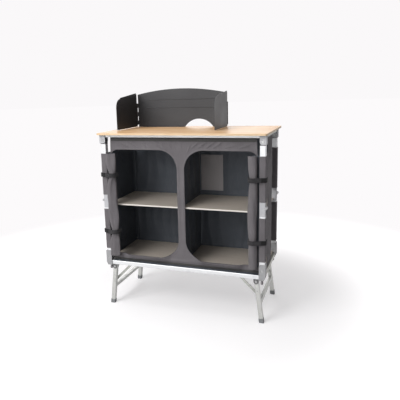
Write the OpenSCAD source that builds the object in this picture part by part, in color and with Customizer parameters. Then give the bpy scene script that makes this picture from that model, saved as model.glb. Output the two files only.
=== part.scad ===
// Folding camp kitchen cabinet: an aluminium frame with elbowed posts, two folding leg
// frames, a laminated top, a two-bay fabric cupboard and a three-panel windshield.
// Millimetres. +Z is up and the front faces -Y. The origin is on the ground under the
// centre of the tabletop. Right is +X.

/* [Tabletop] */
// Width of the tabletop
top_w = 790; // [660:1:960]
// Depth of the tabletop
top_d = 430; // [370:1:520]
// Height of the working surface above the ground
top_h = 850; // [780:1:1020]
// Thickness of the board
board_t = 8.5; // [6:0.5:12]
// Thickness of the edge band round the board
edge_band_t = 1.6; // [1:0.2:3]
// Depth of the rails under the board
top_rail_h = 12; // [10:0.5:15]

/* [Frame] */
// Outer size of the square post and rail tube
tube = 25; // [22:0.5:28]
// Wall of every tube
tube_wall = 1.4; // [1:0.1:2]
// Corner radius of every tube
tube_r = 2.5; // [1.6:0.1:4]
// Board edge to the front face of the front posts
front_overhang = 24; // [18:1:40]
// Board edge to the back face of the rear posts
rear_overhang = 61; // [30:1:80]
// Board edge to the outer face of the posts
side_overhang = 9; // [7:0.5:20]
// Ground to the underside of the base rails
base_rail_z = 206.5; // [190:0.5:230]
// Height of the base rails
base_rail_h = 20; // [16:0.5:24]
// Wall of the moulded corner fittings
fitting_wall = 3; // [2.4:0.1:4]
// Running gap between moving faces
play = 0.3; // [0.25:0.05:0.5]

/* [Fold] */
// Base rails to the lower post pivots
base_pivot_gap = 17.5; // [16.5:0.5:24]
// Underside of the board to the upper post pivots
top_pivot_drop = 27.5; // [26.5:0.5:34]
// Post centre to the elbow pivot outside it
elbow_offset = 14.5; // [14.5:0.5:17]
// Length of each half of the elbow fitting
elbow_len = 36; // [28:1:46]
// Radius of the elbow knuckles
knuckle_r = 6; // [5:0.25:7]
// Radius of the post pins
post_pin_r = 3; // [2.5:0.1:4]
// Radius of the elbow pins
elbow_pin_r = 2.5; // [2:0.1:3]
// Radial clearance of every pin
pin_gap = 0.05; // [0.02:0.01:0.1]

/* [Legs] */
// Outer size of the leg tube
leg_tube = 20; // [16:0.5:22]
// Post centre to the leg pivot
leg_inset = 25.5; // [22:0.5:34]
// How far the foot stands outside its pivot
leg_splay = 24; // [12:1:40]
// Ground to the crossbar
crossbar_z = 88; // [60:1:100]
// Ground to the pivot of the brace on the leg
brace_foot_z = 118; // [108:1:130]
// Leg pivot to the pivot of the brace on the rail
brace_reach = 80; // [70:1:100]
// Width of the brace strip
brace_w = 12; // [10:0.5:14]
// Thickness of the brace strip
brace_t = 2.5; // [2:0.1:3]
// Height of the rubber foot
foot_h = 20; // [14:1:30]
// Wall of the rubber foot round the tube
foot_wall = 1; // [0.6:0.1:1.2]
// Diameter of the pads that the folded cabinet stands on
pad_d = 12; // [10:0.5:16]

/* [Cupboard] */
// Thickness of the fabric
cloth_t = 1.2; // [0.8:0.1:1.5]
// Height of the upper shelf surface
shelf_z = 507; // [460:1:560]
// Thickness of the shelf and base boards
shelf_t = 6; // [4:0.5:8]
// Front post to the front edge of the boards
shelf_front_gap = 6; // [4:0.5:20]
// Width of the stile between the two openings
stile_w = 35; // [24:1:60]
// Height of the header above the openings
header_h = 58; // [40:1:90]
// Height of the lip under the openings
lip_h = 36; // [24:1:50]
// Radius of the inner corners of the openings
opening_r = 88; // [40:1:110]
// Radius of the outer corners of the openings
opening_outer_r = 12; // [6:1:30]
// Diameter of the rolled up door
roll_d = 42; // [34:1:42]
// Post sleeve to the rolled up door
roll_gap = 4; // [2:0.5:10]
// Width of the webbing straps
strap_w = 20; // [15:1:30]
// Depth of the cut-outs of the side walls beside the posts
wall_notch_d = 88; // [30:1:100]
// Corner radius of those cut-outs
wall_notch_r = 26; // [8:1:30]
// Length of a door roll
roll_len = 497; // [380:1:520]
// Length of each post sleeve
sleeve_len = 197; // [150:1:205]

/* [Windshield] */
// Width of the back panel
shield_w = 496; // [440:1:540]
// Depth of the folding side panels
wing_d = 247; // [200:1:247]
// Height of the back panel at its ends
shield_h = 168; // [120:1:220]
// Rise of the arched top edge
shield_arch = 26; // [12:1:50]
// Height of the front edge of a side panel
wing_front_h = 106; // [80:1:115]
// Thickness of the sheet
sheet_t = 1.5; // [1.2:0.1:2]
// Board edge to the back of the windshield, behind
shield_rear_gap = 43; // [20:1:60]
// Centre of the cabinet to the centre of the windshield, to the left
shield_shift = 109; // [60:1:130]
// Radius of the hinge knuckles
hinge_r = 3.2; // [3:0.1:4]
// Radius of the hinge pins
hinge_pin_r = 1.6; // [1.4:0.1:2]

/* [Hidden] */
$fn = 48;

SIDES = [1, -1];
half = tube / 2;
post_x = top_w / 2 - side_overhang - half;
front_y = -top_d / 2 + front_overhang + half;
rear_y = top_d / 2 - rear_overhang - half;
mid_y = (front_y + rear_y) / 2;
ROWS = [front_y, rear_y];
base_top = base_rail_z + base_rail_h;
board_z = top_h - board_t;
top_rail_z = board_z - top_rail_h;
base_pivot_z = base_top + base_pivot_gap;
top_pivot_z = board_z - top_pivot_drop;
post_half_len = (top_pivot_z - base_pivot_z) / 2;
elbow_z = base_pivot_z + post_half_len;
eye_r = half - play;
cheek = half + play;
cheek_out = cheek + fitting_wall;
rail_reach = post_x - cheek - fitting_wall + 1.5;
eye_len = 16;
elbow_plug = 14;
ring_half = 4.7;
cloth_gap = 0.3;
elbow_proud = 0.3;
sleeve_gap = elbow_proud + 0.15;
sleeve_out = half + sleeve_gap + cloth_t;

// The leg's own frame: pivot, foot and the points that its fold carries
leg_half = leg_tube / 2;
leg_pivot_x = post_x - leg_inset;
leg_pivot_z = base_rail_z - leg_half - 2;
leg_angle = atan2(leg_splay, leg_pivot_z);
leg_len = norm([leg_splay, leg_pivot_z]);
function on_leg(z) = leg_pivot_x + (leg_pivot_z - z) * tan(leg_angle);
function down_leg(z) = (leg_pivot_z - z) / cos(leg_angle);
bracket_t = 1.2;
bracket_drop = leg_half + 1.5;

// Folding brace: its elbow folds level with the rail pivot when the leg is up
brace_rail = [leg_pivot_x - brace_reach, base_rail_z];
brace_foot = [on_leg(brace_foot_z), brace_foot_z];
brace_foot_up = [leg_pivot_x - down_leg(brace_foot_z), leg_pivot_z];
brace_len = norm(brace_foot - brace_rail);
fold_gap = brace_rail - brace_foot_up;
brace_upper_len = (brace_len * brace_len - fold_gap * fold_gap) / (2 * (brace_len + fold_gap[0]));
brace_slope = atan2(brace_rail[1] - brace_foot[1], brace_foot[0] - brace_rail[0]);
brace_in = half + 0.5;
brace_pin_r = 2.5;

// Cloth planes
floor_z = base_top + 0.1;
panel_z = floor_z + cloth_t + cloth_gap;
panel_top = top_rail_z - 1;
panel_h = panel_top - panel_z;
front_cloth_y = front_y + 9;
back_cloth_y = rear_y - 9;
wall_x = post_x;
inner_x = post_x - sleeve_out - cloth_gap;
board_front_y = front_y + half + shelf_front_gap;
board_back_y = min(rear_y - cheek_out, back_cloth_y - cloth_t / 2) - 1;
base_board_z = floor_z + cloth_t + 0.1;
roll_x = inner_x - roll_gap - roll_d / 2;
roll_y = front_cloth_y - cloth_t / 2 - cloth_gap - roll_d / 2;
roll_z = base_top + 30;
opening_x = post_x - sleeve_out - 6;
opening_z = base_top + lip_h;
opening_top = panel_top - header_h;
strap_t = 1.6;
strap_gap = 0.6;
cheek_h = 33;
lower_sleeve_z = elbow_z - elbow_len - play - elbow_plug / 2 - sleeve_len;
upper_sleeve_z = elbow_z + elbow_len - 9;

// Windshield frame
shield_x = -shield_shift;
shield_y = top_d / 2 - shield_rear_gap;
shield_z = top_h + 0.2;
hinge_y = shield_y - hinge_r - sheet_t - 0.5;
hinge_x = shield_w / 2 - hinge_r;
bead_r = 1.6;
hose_w = 150;
hose_h = 40;
hose_shift = 96;
flange_d = 14;
hinge_h = 110;
hinge_low = 12;

GREY_CAST = "#b8b8b6";
ALU = "#c9cbcc";
CLOTH = "#77757a";
DARK = "#2d2e31";
SHEET = "#56565a";
WOOD = "#e0b284";
BOARD = "#b5aca2";

// A rectangle with round corners, centred
module rounded(w, h, r) {
    square([w - 2 * r, h], center = true);
    square([w, h - 2 * r], center = true);
    for (x = SIDES, y = SIDES) translate([x * (w / 2 - r), y * (h / 2 - r)]) circle(r);
}

module tube_section(w, h) {
    difference() {
        rounded(w, h, tube_r);
        rounded(w - 2 * tube_wall, h - 2 * tube_wall, tube_r - tube_wall / 2);
    }
}

// Tubes along each axis, from their first end
module tube_z(w, len) linear_extrude(len) tube_section(w, w);

module tube_x(d, h, len) rotate([90, 0, 90]) linear_extrude(len) tube_section(d, h);

module tube_y(w, h, len) rotate([-90, 0, 0]) linear_extrude(len) tube_section(w, h);

// A shape drawn in X and Z, extruded from y0 to y1
module across(y0, y1) translate([0, y1, 0]) rotate([90, 0, 0]) linear_extrude(y1 - y0) children();

module rod_y(r, y0, y1) across(y0, y1) circle(r);

// The right half is drawn once, and the left half is its mirror image
module side(s) mirror([s < 0 ? 1 : 0, 0, 0]) children();

// Base frame

module base_rail(y, reach) {
    color(ALU) translate([-reach, y, base_rail_z + base_rail_h / 2]) tube_x(tube, base_rail_h, 2 * reach);
}

module base_rail_front() base_rail(front_y, rail_reach);

module base_rail_rear() base_rail(rear_y, rail_reach);

module base_side_rails() {
    rail_w = tube - 5;
    color(ALU) for (s = SIDES)
        translate([s * post_x, front_y + cheek_out, base_rail_z + base_rail_h / 2])
            tube_y(rail_w, base_rail_h, rear_y - front_y - 2 * cheek_out);
}

// Moulded corner: a socket for the two rails below, open cheeks for the post above
module corner_fitting_outline() {
    low = base_rail_z - 3.5;
    cheek_top = base_pivot_z + cheek_h;
    polygon([
        [-cheek, low], [cheek - 4, low], [cheek_out, low + 14],
        [cheek_out, cheek_top], [-half + 5, cheek_top], [-cheek, cheek_top - 9]
    ]);
}

module post_cavity_base() {
    across(-cheek, cheek) {
        translate([-2 * tube, base_top + 0.5]) square([2 * tube + cheek, top_h]);
    }
}

module base_corner_fittings() {
    color(GREY_CAST) for (s = SIDES, y = ROWS) side(s) translate([post_x, y, 0]) {
        difference() {
            across(-cheek_out, cheek_out) corner_fitting_outline();
            post_cavity_base();
            translate([-tube - fitting_wall, -half, base_rail_z]) cube([tube + 1.5, tube, base_rail_h]);
            translate([0, 0, base_pivot_z]) rod_y(post_pin_r + pin_gap, -tube, tube);
            for (f = SIDES) translate([0, f * cheek_out, base_pivot_z]) rod_y(6.5, -1, 1);
            translate([-1.5, 0, base_rail_z - 10]) cylinder(r = 3, h = 16);
        }
    }
}

module base_pads() {
    color("#8d898c") for (s = SIDES, y = ROWS) side(s) translate([post_x - 1.5, y, 0]) {
        pad_top = base_rail_z - 3.5;
        pad_low = leg_pivot_z - leg_half - foot_wall - 2.5;
        translate([0, 0, pad_low]) rotate_extrude() polygon([
            [0, 0], [pad_d / 2 - 1.5, 0], [pad_d / 2, 1.5], [pad_d / 2, 9],
            [pad_d / 2 - 2, pad_top - pad_low], [2.9, pad_top - pad_low],
            [2.9, pad_top - pad_low + 8], [0, pad_top - pad_low + 8]
        ]);
    }
}

// A pin along Y with a low domed head at each end, from -reach to reach
module headed_pin(r, head_r, reach, head_t) {
    rod_y(r, -reach, reach);
    for (f = SIDES) mirror([0, f < 0 ? 1 : 0, 0])
        translate([0, reach, 0]) rotate([-90, 0, 0]) rotate_extrude()
            polygon([[0, 0], [head_r, 0], [head_r, head_t / 2], [head_r - head_t / 2, head_t], [0, head_t]]);
}

module base_pivot_pins() {
    color("#9a9a98") for (s = SIDES, y = ROWS) side(s)
        translate([post_x, y, base_pivot_z]) headed_pin(post_pin_r, 6.2, cheek_out - 1, 1.6);
}

// Post halves: tube, eye, elbow half and cloth sleeve

module post_tube(z0, z1) color(ALU) for (y = ROWS) translate([post_x, y, z0]) tube_z(tube, z1 - z0);

// Plug in the end of a tube with a round eye on the pivot: up = 1 for the lower half
module post_eye(pivot_z, up) {
    inner = tube - 2 * tube_wall - 0.2;
    color("#6b6b6d") for (y = ROWS) translate([post_x, y, pivot_z]) difference() {
        union() {
            rod_y(eye_r, -half + 0.2, half - 0.2);
            scale([1, 1, up]) linear_extrude(eye_len) square(tube - 2 * play, center = true);
            scale([1, 1, up]) linear_extrude(eye_len + 12) rounded(inner, inner, tube_r - tube_wall / 2);
        }
        rod_y(post_pin_r + pin_gap, -tube, tube);
    }
}

// Half an elbow: up = 1 is the half above the pivot, which holds the single middle knuckle
module elbow_half(up) {
    inner = tube - 2 * tube_wall - 0.2;
    face = play / 2;
    color(GREY_CAST) for (y = ROWS) translate([post_x, y, elbow_z]) scale([1, 1, up]) difference() {
        union() {
            translate([0, 0, face]) linear_extrude(elbow_len - face)
                rounded(tube + 2 * elbow_proud, tube + 2 * elbow_proud, tube_r + elbow_proud);
            linear_extrude(elbow_len + elbow_plug) rounded(inner, inner, tube_r - tube_wall / 2);
            if (up > 0) translate([elbow_offset, 0, 0]) rod_y(knuckle_r, -ring_half, ring_half);
            else for (f = SIDES) mirror([0, f < 0 ? 1 : 0, 0])
                translate([elbow_offset, 0, 0]) rod_y(knuckle_r, ring_half + play, half + elbow_proud);
        }
        translate([0, 0, -face]) linear_extrude(2 * face) square(2 * half - 4, center = true);
        if (up > 0) for (f = SIDES) mirror([0, f < 0 ? 1 : 0, 0])
            translate([elbow_offset, 0, 0]) rod_y(knuckle_r + play, ring_half + play / 2, half + 2);
        else translate([elbow_offset, 0, 0]) rod_y(knuckle_r + play, -ring_half - play / 2, ring_half + play / 2);
        translate([elbow_offset, 0, 0]) rod_y(elbow_pin_r + pin_gap, -tube, tube);
    }
}

module elbow_pins() {
    color("#8c8c8a") for (y = ROWS) translate([post_x + elbow_offset, y, elbow_z])
        headed_pin(elbow_pin_r, 4.6, half + elbow_proud + 0.1, 1.4);
}

module sleeves(z0) {
    color(CLOTH) for (y = ROWS) translate([post_x, y, z0]) linear_extrude(sleeve_len) difference() {
        rounded(2 * sleeve_out, 2 * sleeve_out, tube_r + sleeve_gap + cloth_t);
        rounded(tube + 2 * sleeve_gap, tube + 2 * sleeve_gap, tube_r + sleeve_gap);
    }
}

module lower_tubes() post_tube(base_pivot_z + eye_len, elbow_z - elbow_len);

module upper_tubes() post_tube(elbow_z + elbow_len, top_pivot_z - eye_len);

module right_lower_tubes() lower_tubes();
module right_lower_eyes() post_eye(base_pivot_z, 1);
module right_lower_elbows() elbow_half(-1);
module right_lower_sleeves() sleeves(lower_sleeve_z);
module right_upper_tubes() upper_tubes();
module right_upper_eyes() post_eye(top_pivot_z, -1);
module right_upper_elbows() elbow_half(1);
module right_upper_sleeves() sleeves(upper_sleeve_z);
module right_elbow_pins() elbow_pins();
module left_lower_tubes() side(-1) lower_tubes();
module left_lower_eyes() side(-1) post_eye(base_pivot_z, 1);
module left_lower_elbows() side(-1) elbow_half(-1);
module left_lower_sleeves() side(-1) sleeves(lower_sleeve_z);
module left_upper_tubes() side(-1) upper_tubes();
module left_upper_eyes() side(-1) post_eye(top_pivot_z, -1);
module left_upper_elbows() side(-1) elbow_half(1);
module left_upper_sleeves() side(-1) sleeves(upper_sleeve_z);
module left_elbow_pins() side(-1) elbow_pins();

// Top

module tabletop() {
    color(WOOD) translate([0, 0, board_z]) linear_extrude(board_t)
        rounded(top_w - 2 * edge_band_t, top_d - 2 * edge_band_t, 8);
}

module tabletop_edge_band() {
    color("#f0d2a8") translate([0, 0, board_z]) linear_extrude(board_t) difference() {
        rounded(top_w, top_d, 8 + edge_band_t);
        rounded(top_w - 2 * edge_band_t, top_d - 2 * edge_band_t, 8);
    }
}

module top_rail(y) {
    color(ALU) translate([-rail_reach, y, top_rail_z + top_rail_h / 2])
        tube_x(tube, top_rail_h, 2 * rail_reach);
}

module top_rail_front() top_rail(front_y);

module top_rail_rear() top_rail(rear_y);

module top_side_rails() {
    color(ALU) for (s = SIDES)
        translate([s * post_x, front_y + cheek_out, top_rail_z + top_rail_h / 2])
            tube_y(tube, top_rail_h, rear_y - front_y - 2 * cheek_out);
}

// Moulded block under each corner: round cheeks hold the post pin
module top_corner_blocks() {
    color(GREY_CAST) for (s = SIDES, y = ROWS) side(s) translate([post_x, y, 0]) difference() {
        union() {
            across(-cheek_out, cheek_out) {
                translate([0, top_pivot_z]) circle(half);
                translate([-half, top_pivot_z]) square([cheek_out + half, board_z - top_pivot_z]);
                translate([0, top_pivot_z - half]) square([cheek_out, half + 1]);
            }
        }
        across(-cheek, cheek) translate([-tube, top_pivot_z - tube]) square([tube + cheek, tube + half + play]);
        translate([-tube - fitting_wall, -half, top_rail_z]) cube([tube + 1.5, tube, top_rail_h]);
        translate([0, 0, top_pivot_z]) rod_y(post_pin_r + pin_gap, -tube, tube);
        for (f = SIDES) translate([0, f * cheek_out, top_pivot_z]) rod_y(7, -1, 1);
    }
}

module top_pivot_pins() {
    color("#9a9a98") for (s = SIDES, y = ROWS) side(s)
        translate([post_x, y, top_pivot_z]) headed_pin(post_pin_r, 6.6, cheek_out - 1, 1.6);
}

// Leg frames

// Everything that folds with a leg, drawn straight down from the pivot
module leg_place() translate([leg_pivot_x, 0, leg_pivot_z]) rotate([0, -leg_angle, 0]) children();

module leg_frame() {
    bar = down_leg(crossbar_z);
    reach = leg_len - 6;
    color(ALU) leg_place() {
        for (y = ROWS) translate([0, y, 0]) difference() {
            union() {
                rod_y(leg_half, -leg_half, leg_half);
                translate([0, 0, -reach]) linear_extrude(reach) rounded(leg_tube, leg_tube, tube_r);
            }
            translate([0, 0, -reach - 1]) linear_extrude(reach - leg_half - 8)
                rounded(leg_tube - 2 * tube_wall, leg_tube - 2 * tube_wall, tube_r - tube_wall / 2);
            rod_y(post_pin_r + pin_gap, -tube, tube);
        }
        translate([0, front_y + leg_half, -bar]) tube_y(16, 16, rear_y - front_y - 2 * leg_half);
        for (f = SIDES) translate([0, mid_y - f * (mid_y - front_y), -down_leg(brace_foot_z)])
            brace_stud(f);
    }
}

// Stud on the inner side of the leg that the lower brace turns on
module brace_stud(f) mirror([0, f < 0 ? 1 : 0, 0]) {
    inner = brace_in + 2 * brace_t + 0.5;
    translate([0, leg_half - 0.5, 0]) rod_y(4, 0, brace_in + brace_t + 0.2 - leg_half + 0.5);
    rod_y(brace_pin_r, leg_half, inner + 0.6);
    rod_y(4.2, inner + 0.3, inner + 1.8);
}

// Rubber foot: a cup over the tube end with a tread cut square to the ground
module feet() {
    outer = leg_tube + 2 * foot_wall;
    color(DARK) for (y = ROWS) difference() {
        leg_place() translate([0, y, -leg_len - 8]) linear_extrude(foot_h + 8) rounded(outer, outer, tube_r + foot_wall);
        leg_place() translate([0, y, -leg_len + 6]) linear_extrude(foot_h) rounded(leg_tube + 0.1, leg_tube + 0.1, tube_r);
        translate([leg_pivot_x, y - tube, -50]) cube([4 * tube, 2 * tube, 50]);
    }
}

module leg_hinge_brackets() {
    w = 24;
    color("#4a4a4c") for (s = SIDES, y = ROWS) side(s) translate([leg_pivot_x, y, leg_pivot_z]) difference() {
        for (f = SIDES) mirror([0, f < 0 ? 1 : 0, 0])
            across(leg_half + play, leg_half + play + bracket_t) {
                circle(bracket_drop);
                translate([-w / 2, 0]) square([w, base_rail_z - leg_pivot_z]);
            }
        rod_y(post_pin_r + pin_gap, -tube, tube);
    }
    color("#4a4a4c") for (s = SIDES, y = ROWS) side(s)
        translate([leg_pivot_x - w / 2, y - leg_half - play - bracket_t, base_rail_z - 1.2])
            cube([w, 2 * (leg_half + play + bracket_t), 1.2]);
}

module leg_hinge_pins() {
    color("#9a9a98") for (s = SIDES, y = ROWS) side(s)
        translate([leg_pivot_x, y, leg_pivot_z]) headed_pin(post_pin_r, 5, leg_half + play + bracket_t + 0.2, 1.4);
}

// Braces: two flat strips from the rail to the leg, which meet at an elbow

module strip(len, y0, y1) {
    difference() {
        across(y0, y1) {
            circle(brace_w / 2);
            translate([0, -brace_w / 2]) square([len, brace_w]);
            translate([len, 0]) circle(brace_w / 2);
        }
        rod_y(brace_pin_r + pin_gap, -top_d, top_d);
    }
}

// f = 1 is the front frame, -1 the rear one: the strips lie inside the rails
module brace_row(f) translate([0, f > 0 ? front_y : rear_y, 0]) mirror([0, f < 0 ? 1 : 0, 0]) children();

module brace_upper() {
    color("#a8a9a6") for (f = SIDES) brace_row(f)
        translate([brace_rail[0], 0, brace_rail[1]]) rotate([0, brace_slope, 0]) difference() {
            strip(brace_upper_len, brace_in, brace_in + brace_t);
            translate([brace_upper_len, 0, 0]) rod_y(brace_pin_r, brace_in - 1, brace_in + brace_t + 1);
        }
}

module brace_lower() {
    color("#a8a9a6") for (f = SIDES) brace_row(f)
        translate([brace_foot[0], 0, brace_foot[1]]) rotate([0, brace_slope + 180, 0]) {
            strip(brace_len - brace_upper_len, brace_in + brace_t + 0.5, brace_in + 2 * brace_t + 0.5);
            translate([brace_len - brace_upper_len, 0, 0])
                rod_y(4, brace_in + 2 * brace_t + 0.4, brace_in + 2 * brace_t + 2);
        }
}

module brace_rail_pins() {
    plate_w = 18;
    color("#4a4a4c") for (s = SIDES, f = SIDES) side(s) brace_row(f)
        translate([brace_rail[0], 0, brace_rail[1]]) {
            rod_y(brace_pin_r, half, brace_in + brace_t + 0.2);
            across(half, brace_in - 0.1) translate([-plate_w / 2, -5]) square([plate_w, 18]);
        }
}

module right_leg_frame() leg_frame();
module right_feet() feet();
module right_brace_upper() brace_upper();
module right_brace_lower() brace_lower();
module left_leg_frame() side(-1) leg_frame();
module left_feet() side(-1) feet();
module left_brace_upper() side(-1) brace_upper();
module left_brace_lower() side(-1) brace_lower();

// Boards

// One board in each bay, from the divider to the side wall
bay_x = cloth_t / 2 + cloth_gap;
bay_w = wall_x - 2 * bay_x;
board_d = board_back_y - board_front_y;

module bay_boards(z) {
    for (s = SIDES) side(s) translate([bay_x + bay_w / 2, board_front_y + board_d / 2, z])
        linear_extrude(shelf_t) rounded(bay_w, board_d, 4);
}

module base_boards() color(BOARD) bay_boards(base_board_z);

module shelf_boards() color(BOARD) bay_boards(shelf_z - shelf_t);

// Cloth hammock under each shelf board
module shelf_sling() {
    color(CLOTH) for (s = SIDES) side(s) translate([bay_x, board_front_y, shelf_z - shelf_t - cloth_t - 0.1])
        cube([bay_w, board_d, cloth_t]);
}

// Cloth

module cupboard_floor() {
    corner = half + fitting_wall + 3;
    color(CLOTH) translate([0, 0, floor_z]) linear_extrude(cloth_t) difference() {
        translate([-post_x, front_y - half + 1]) square([2 * post_x, rear_y - front_y + tube - 2]);
        for (s = SIDES, y = ROWS) translate([s * post_x, y]) square(2 * corner, center = true);
    }
}

// One door opening: large corners beside the stile, small ones at the post
module door_opening() {
    x0 = stile_w / 2;
    difference() {
        translate([x0, opening_z]) square([opening_x - x0, opening_top - opening_z]);
        for (z = [opening_z, opening_top]) {
            turn = z == opening_z ? 1 : -1;
            translate([x0 + opening_r, z + turn * opening_r]) difference() {
                translate([-opening_r - 1, turn > 0 ? -opening_r - 1 : 0]) square([opening_r + 1, opening_r + 1]);
                circle(opening_r, $fn = 96);
            }
            translate([opening_x - opening_outer_r, z + turn * opening_outer_r]) difference() {
                translate([0, turn > 0 ? -opening_outer_r - 1 : 0]) square(opening_outer_r + 1);
                circle(opening_outer_r);
            }
        }
    }
}

module cupboard_front() {
    color(CLOTH) across(front_cloth_y - cloth_t / 2, front_cloth_y + cloth_t / 2) difference() {
        translate([-inner_x, panel_z]) square([2 * inner_x, panel_h]);
        for (s = SIDES) mirror([s < 0 ? 1 : 0, 0]) door_opening();
        for (s = SIDES) translate([s * post_x, panel_z]) square([2 * cheek_out + 2, 2 * 60], center = true);
    }
}

module cupboard_back() {
    color(DARK) across(back_cloth_y - cloth_t / 2, back_cloth_y + cloth_t / 2)
        translate([-inner_x, panel_z]) square([2 * inner_x, panel_h]);
}

// Side wall: it meets the posts only along the sleeves, and is cut back deeply at the
// corners and elbows, where hands reach the metal
module wall_notch(y, z0, z1) translate([y, (z0 + z1) / 2]) rounded(2 * wall_notch_d, z1 - z0, wall_notch_r);

module wall_outline() {
    y0 = front_y + sleeve_out + cloth_gap;
    y1 = rear_y - sleeve_out - cloth_gap;
    difference() {
        translate([y0, panel_z]) square([y1 - y0, panel_h]);
        for (y = [y0, y1]) {
            wall_notch(y, panel_z - 2 * wall_notch_r, max(lower_sleeve_z, base_pivot_z + cheek_h + 1));
            wall_notch(y, lower_sleeve_z + sleeve_len, upper_sleeve_z);
            wall_notch(y, upper_sleeve_z + sleeve_len, panel_top + 2 * wall_notch_r);
        }
    }
}

module cupboard_wall() {
    color(CLOTH) translate([wall_x - cloth_t / 2, 0, 0]) rotate([90, 0, 90]) linear_extrude(cloth_t) wall_outline();
}

module cupboard_right_wall() cupboard_wall();

module cupboard_left_wall() side(-1) cupboard_wall();

module cupboard_divider() {
    y0 = front_cloth_y + cloth_t / 2 + cloth_gap;
    y1 = back_cloth_y - cloth_t / 2 - cloth_gap;
    color(DARK) translate([-cloth_t / 2, y0, panel_z]) cube([cloth_t, y1 - y0, panel_h]);
}

module door_roll() color(CLOTH) translate([roll_x, roll_y, roll_z]) cylinder(d = roll_d, h = roll_len);

module right_door_roll() door_roll();

module left_door_roll() side(-1) door_roll();

// Webbing band, seen from above: round the roll and over the outer side of the post sleeve
function roll_arc(r) = [for (a = [180 : 15 : 285]) [roll_x + r * cos(a), roll_y + r * sin(a)]];
function strap_path(gap) = concat(
    [[roll_x - roll_d / 2 - gap, roll_y + roll_d / 2 - 3]],
    roll_arc(roll_d / 2 + gap),
    [[post_x + sleeve_out, front_y - sleeve_out - gap], [post_x + sleeve_out + gap, front_y - sleeve_out],
     [post_x + sleeve_out + gap, front_y + 8]]
);
function backwards(points) = [for (i = [len(points) - 1 : -1 : 0]) points[i]];

module door_straps() {
    color(DARK) for (s = SIDES, z = [elbow_z - 151, elbow_z + 124]) side(s)
        translate([0, 0, z - strap_w / 2]) linear_extrude(strap_w)
            polygon(concat(strap_path(strap_gap + strap_t), backwards(strap_path(strap_gap))));
}

// Windshield: drawn with its own origin at the middle of the back panel's foot

module shield_place() translate([shield_x, shield_y, shield_z]) children();

module back_outline() {
    sagitta = shield_arch;
    chord = shield_w - 2 * (2 * hinge_r + 1);
    arch_r = (chord * chord / 4 + sagitta * sagitta) / (2 * sagitta);
    hose_r = (hose_w * hose_w / 4 + hose_h * hose_h) / (2 * hose_h);
    difference() {
        union() {
            translate([-chord / 2, 0]) square([chord, shield_h]);
            intersection() {
                translate([0, shield_h + sagitta - arch_r]) circle(arch_r, $fn = 180);
                translate([-chord / 2, shield_h - 1]) square([chord, sagitta + 1]);
            }
        }
        translate([hose_shift, hose_h - hose_r]) circle(hose_r, $fn = 96);
        translate([hose_shift - hose_w / 2, -1]) square([hose_w, 1]);
    }
}

// Raised bead pressed along the back panel
module bead(z, len) {
    translate([-len / 2, -sheet_t, z]) {
        rotate([0, 90, 0]) cylinder(r = bead_r, h = len);
        for (x = [0, len]) translate([x, 0, 0]) sphere(bead_r);
    }
}

// Knuckles along a vertical hinge line: first = 0 for the back panel, 1 for a wing
module knuckles(x, first, h) {
    count = 5;
    step = h / count;
    for (i = [first : 2 : count - 1]) translate([x, 0, i * step + play / 2]) knuckle_ring(step - play);
}

module knuckle_ring(len) {
    difference() {
        cylinder(r = hinge_r, h = len);
        translate([0, 0, -1]) cylinder(r = hinge_pin_r + pin_gap, h = len + 2);
    }
}

module windshield_back() {
    color(SHEET) shield_place() {
        across(-sheet_t, 0) back_outline();
        bead(shield_h - 28, shield_w - 140);
        bead(shield_h - 70, shield_w - 110);
        for (x = [-shield_w / 2 + 40, hose_shift + hose_w / 2 + 4])
            translate([x, -flange_d, 0])
                cube([x < 0 ? hose_shift - hose_w / 2 - x - 4 : shield_w / 2 - 40 - x, flange_d, sheet_t]);
        for (s = SIDES) side(s) {
            translate([0, hinge_y - shield_y, hinge_low]) knuckles(hinge_x, 0, hinge_h);
            for (i = [0 : 2 : 4]) translate([hinge_x, hinge_y - shield_y, hinge_low + i * hinge_h / 5 + play / 2])
                difference() {
                    union() {
                        translate([-hinge_r, 0, 0])
                            cube([hinge_r, shield_y - hinge_y - 0.01, hinge_h / 5 - play]);
                        translate([-hinge_r - 3, shield_y - hinge_y - sheet_t, 0])
                            cube([hinge_r + 3, sheet_t - 0.01, hinge_h / 5 - play]);
                    }
                    translate([0, 0, -1]) cylinder(r = hinge_pin_r + pin_gap, h = hinge_h);
                }
        }
    }
}

// Side panel seen from the side, from the hinge at 0 to its front edge at -wing_d
module wing_outline() {
    front = wing_d - hinge_r - 2;
    round_r = 45;
    top = shield_h + 8;
    wing_low = sheet_t + 0.6;
    difference() {
        translate([-front, wing_low]) square([front - hinge_r - 0.8, top - wing_low]);
        translate([-front + round_r, wing_front_h]) difference() {
            translate([-round_r - 1, 0]) square([round_r + 1, top]);
            circle(round_r, $fn = 96);
        }
        translate([-front, wing_front_h + round_r])
            rotate(atan2(top - wing_front_h - round_r, front - 14))
                translate([-front, 0]) square([3 * front, top]);
        translate([-hinge_r - 14, top - 14]) difference() {
            square(20);
            circle(14);
        }
    }
}

module wing() {
    color(SHEET) shield_place() translate([hinge_x, hinge_y - shield_y, 0]) {
        translate([sheet_t / 2, 0, 0]) rotate([90, 0, -90]) linear_extrude(sheet_t) mirror([1, 0]) wing_outline();
        translate([0, 0, hinge_low]) knuckles(0, 1, hinge_h);
        for (i = [1 : 2 : 3]) translate([-sheet_t / 2, -hinge_r - 2, hinge_low + i * hinge_h / 5 + play / 2]) difference() {
            cube([sheet_t, hinge_r + 2, hinge_h / 5 - play]);
            translate([sheet_t / 2, hinge_r + 2, -1]) cylinder(r = hinge_pin_r + pin_gap, h = hinge_h);
        }
    }
}

module windshield_right_wing() wing();

module windshield_left_wing()
    translate([2 * shield_x, 0, 0]) side(-1) wing();

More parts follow.
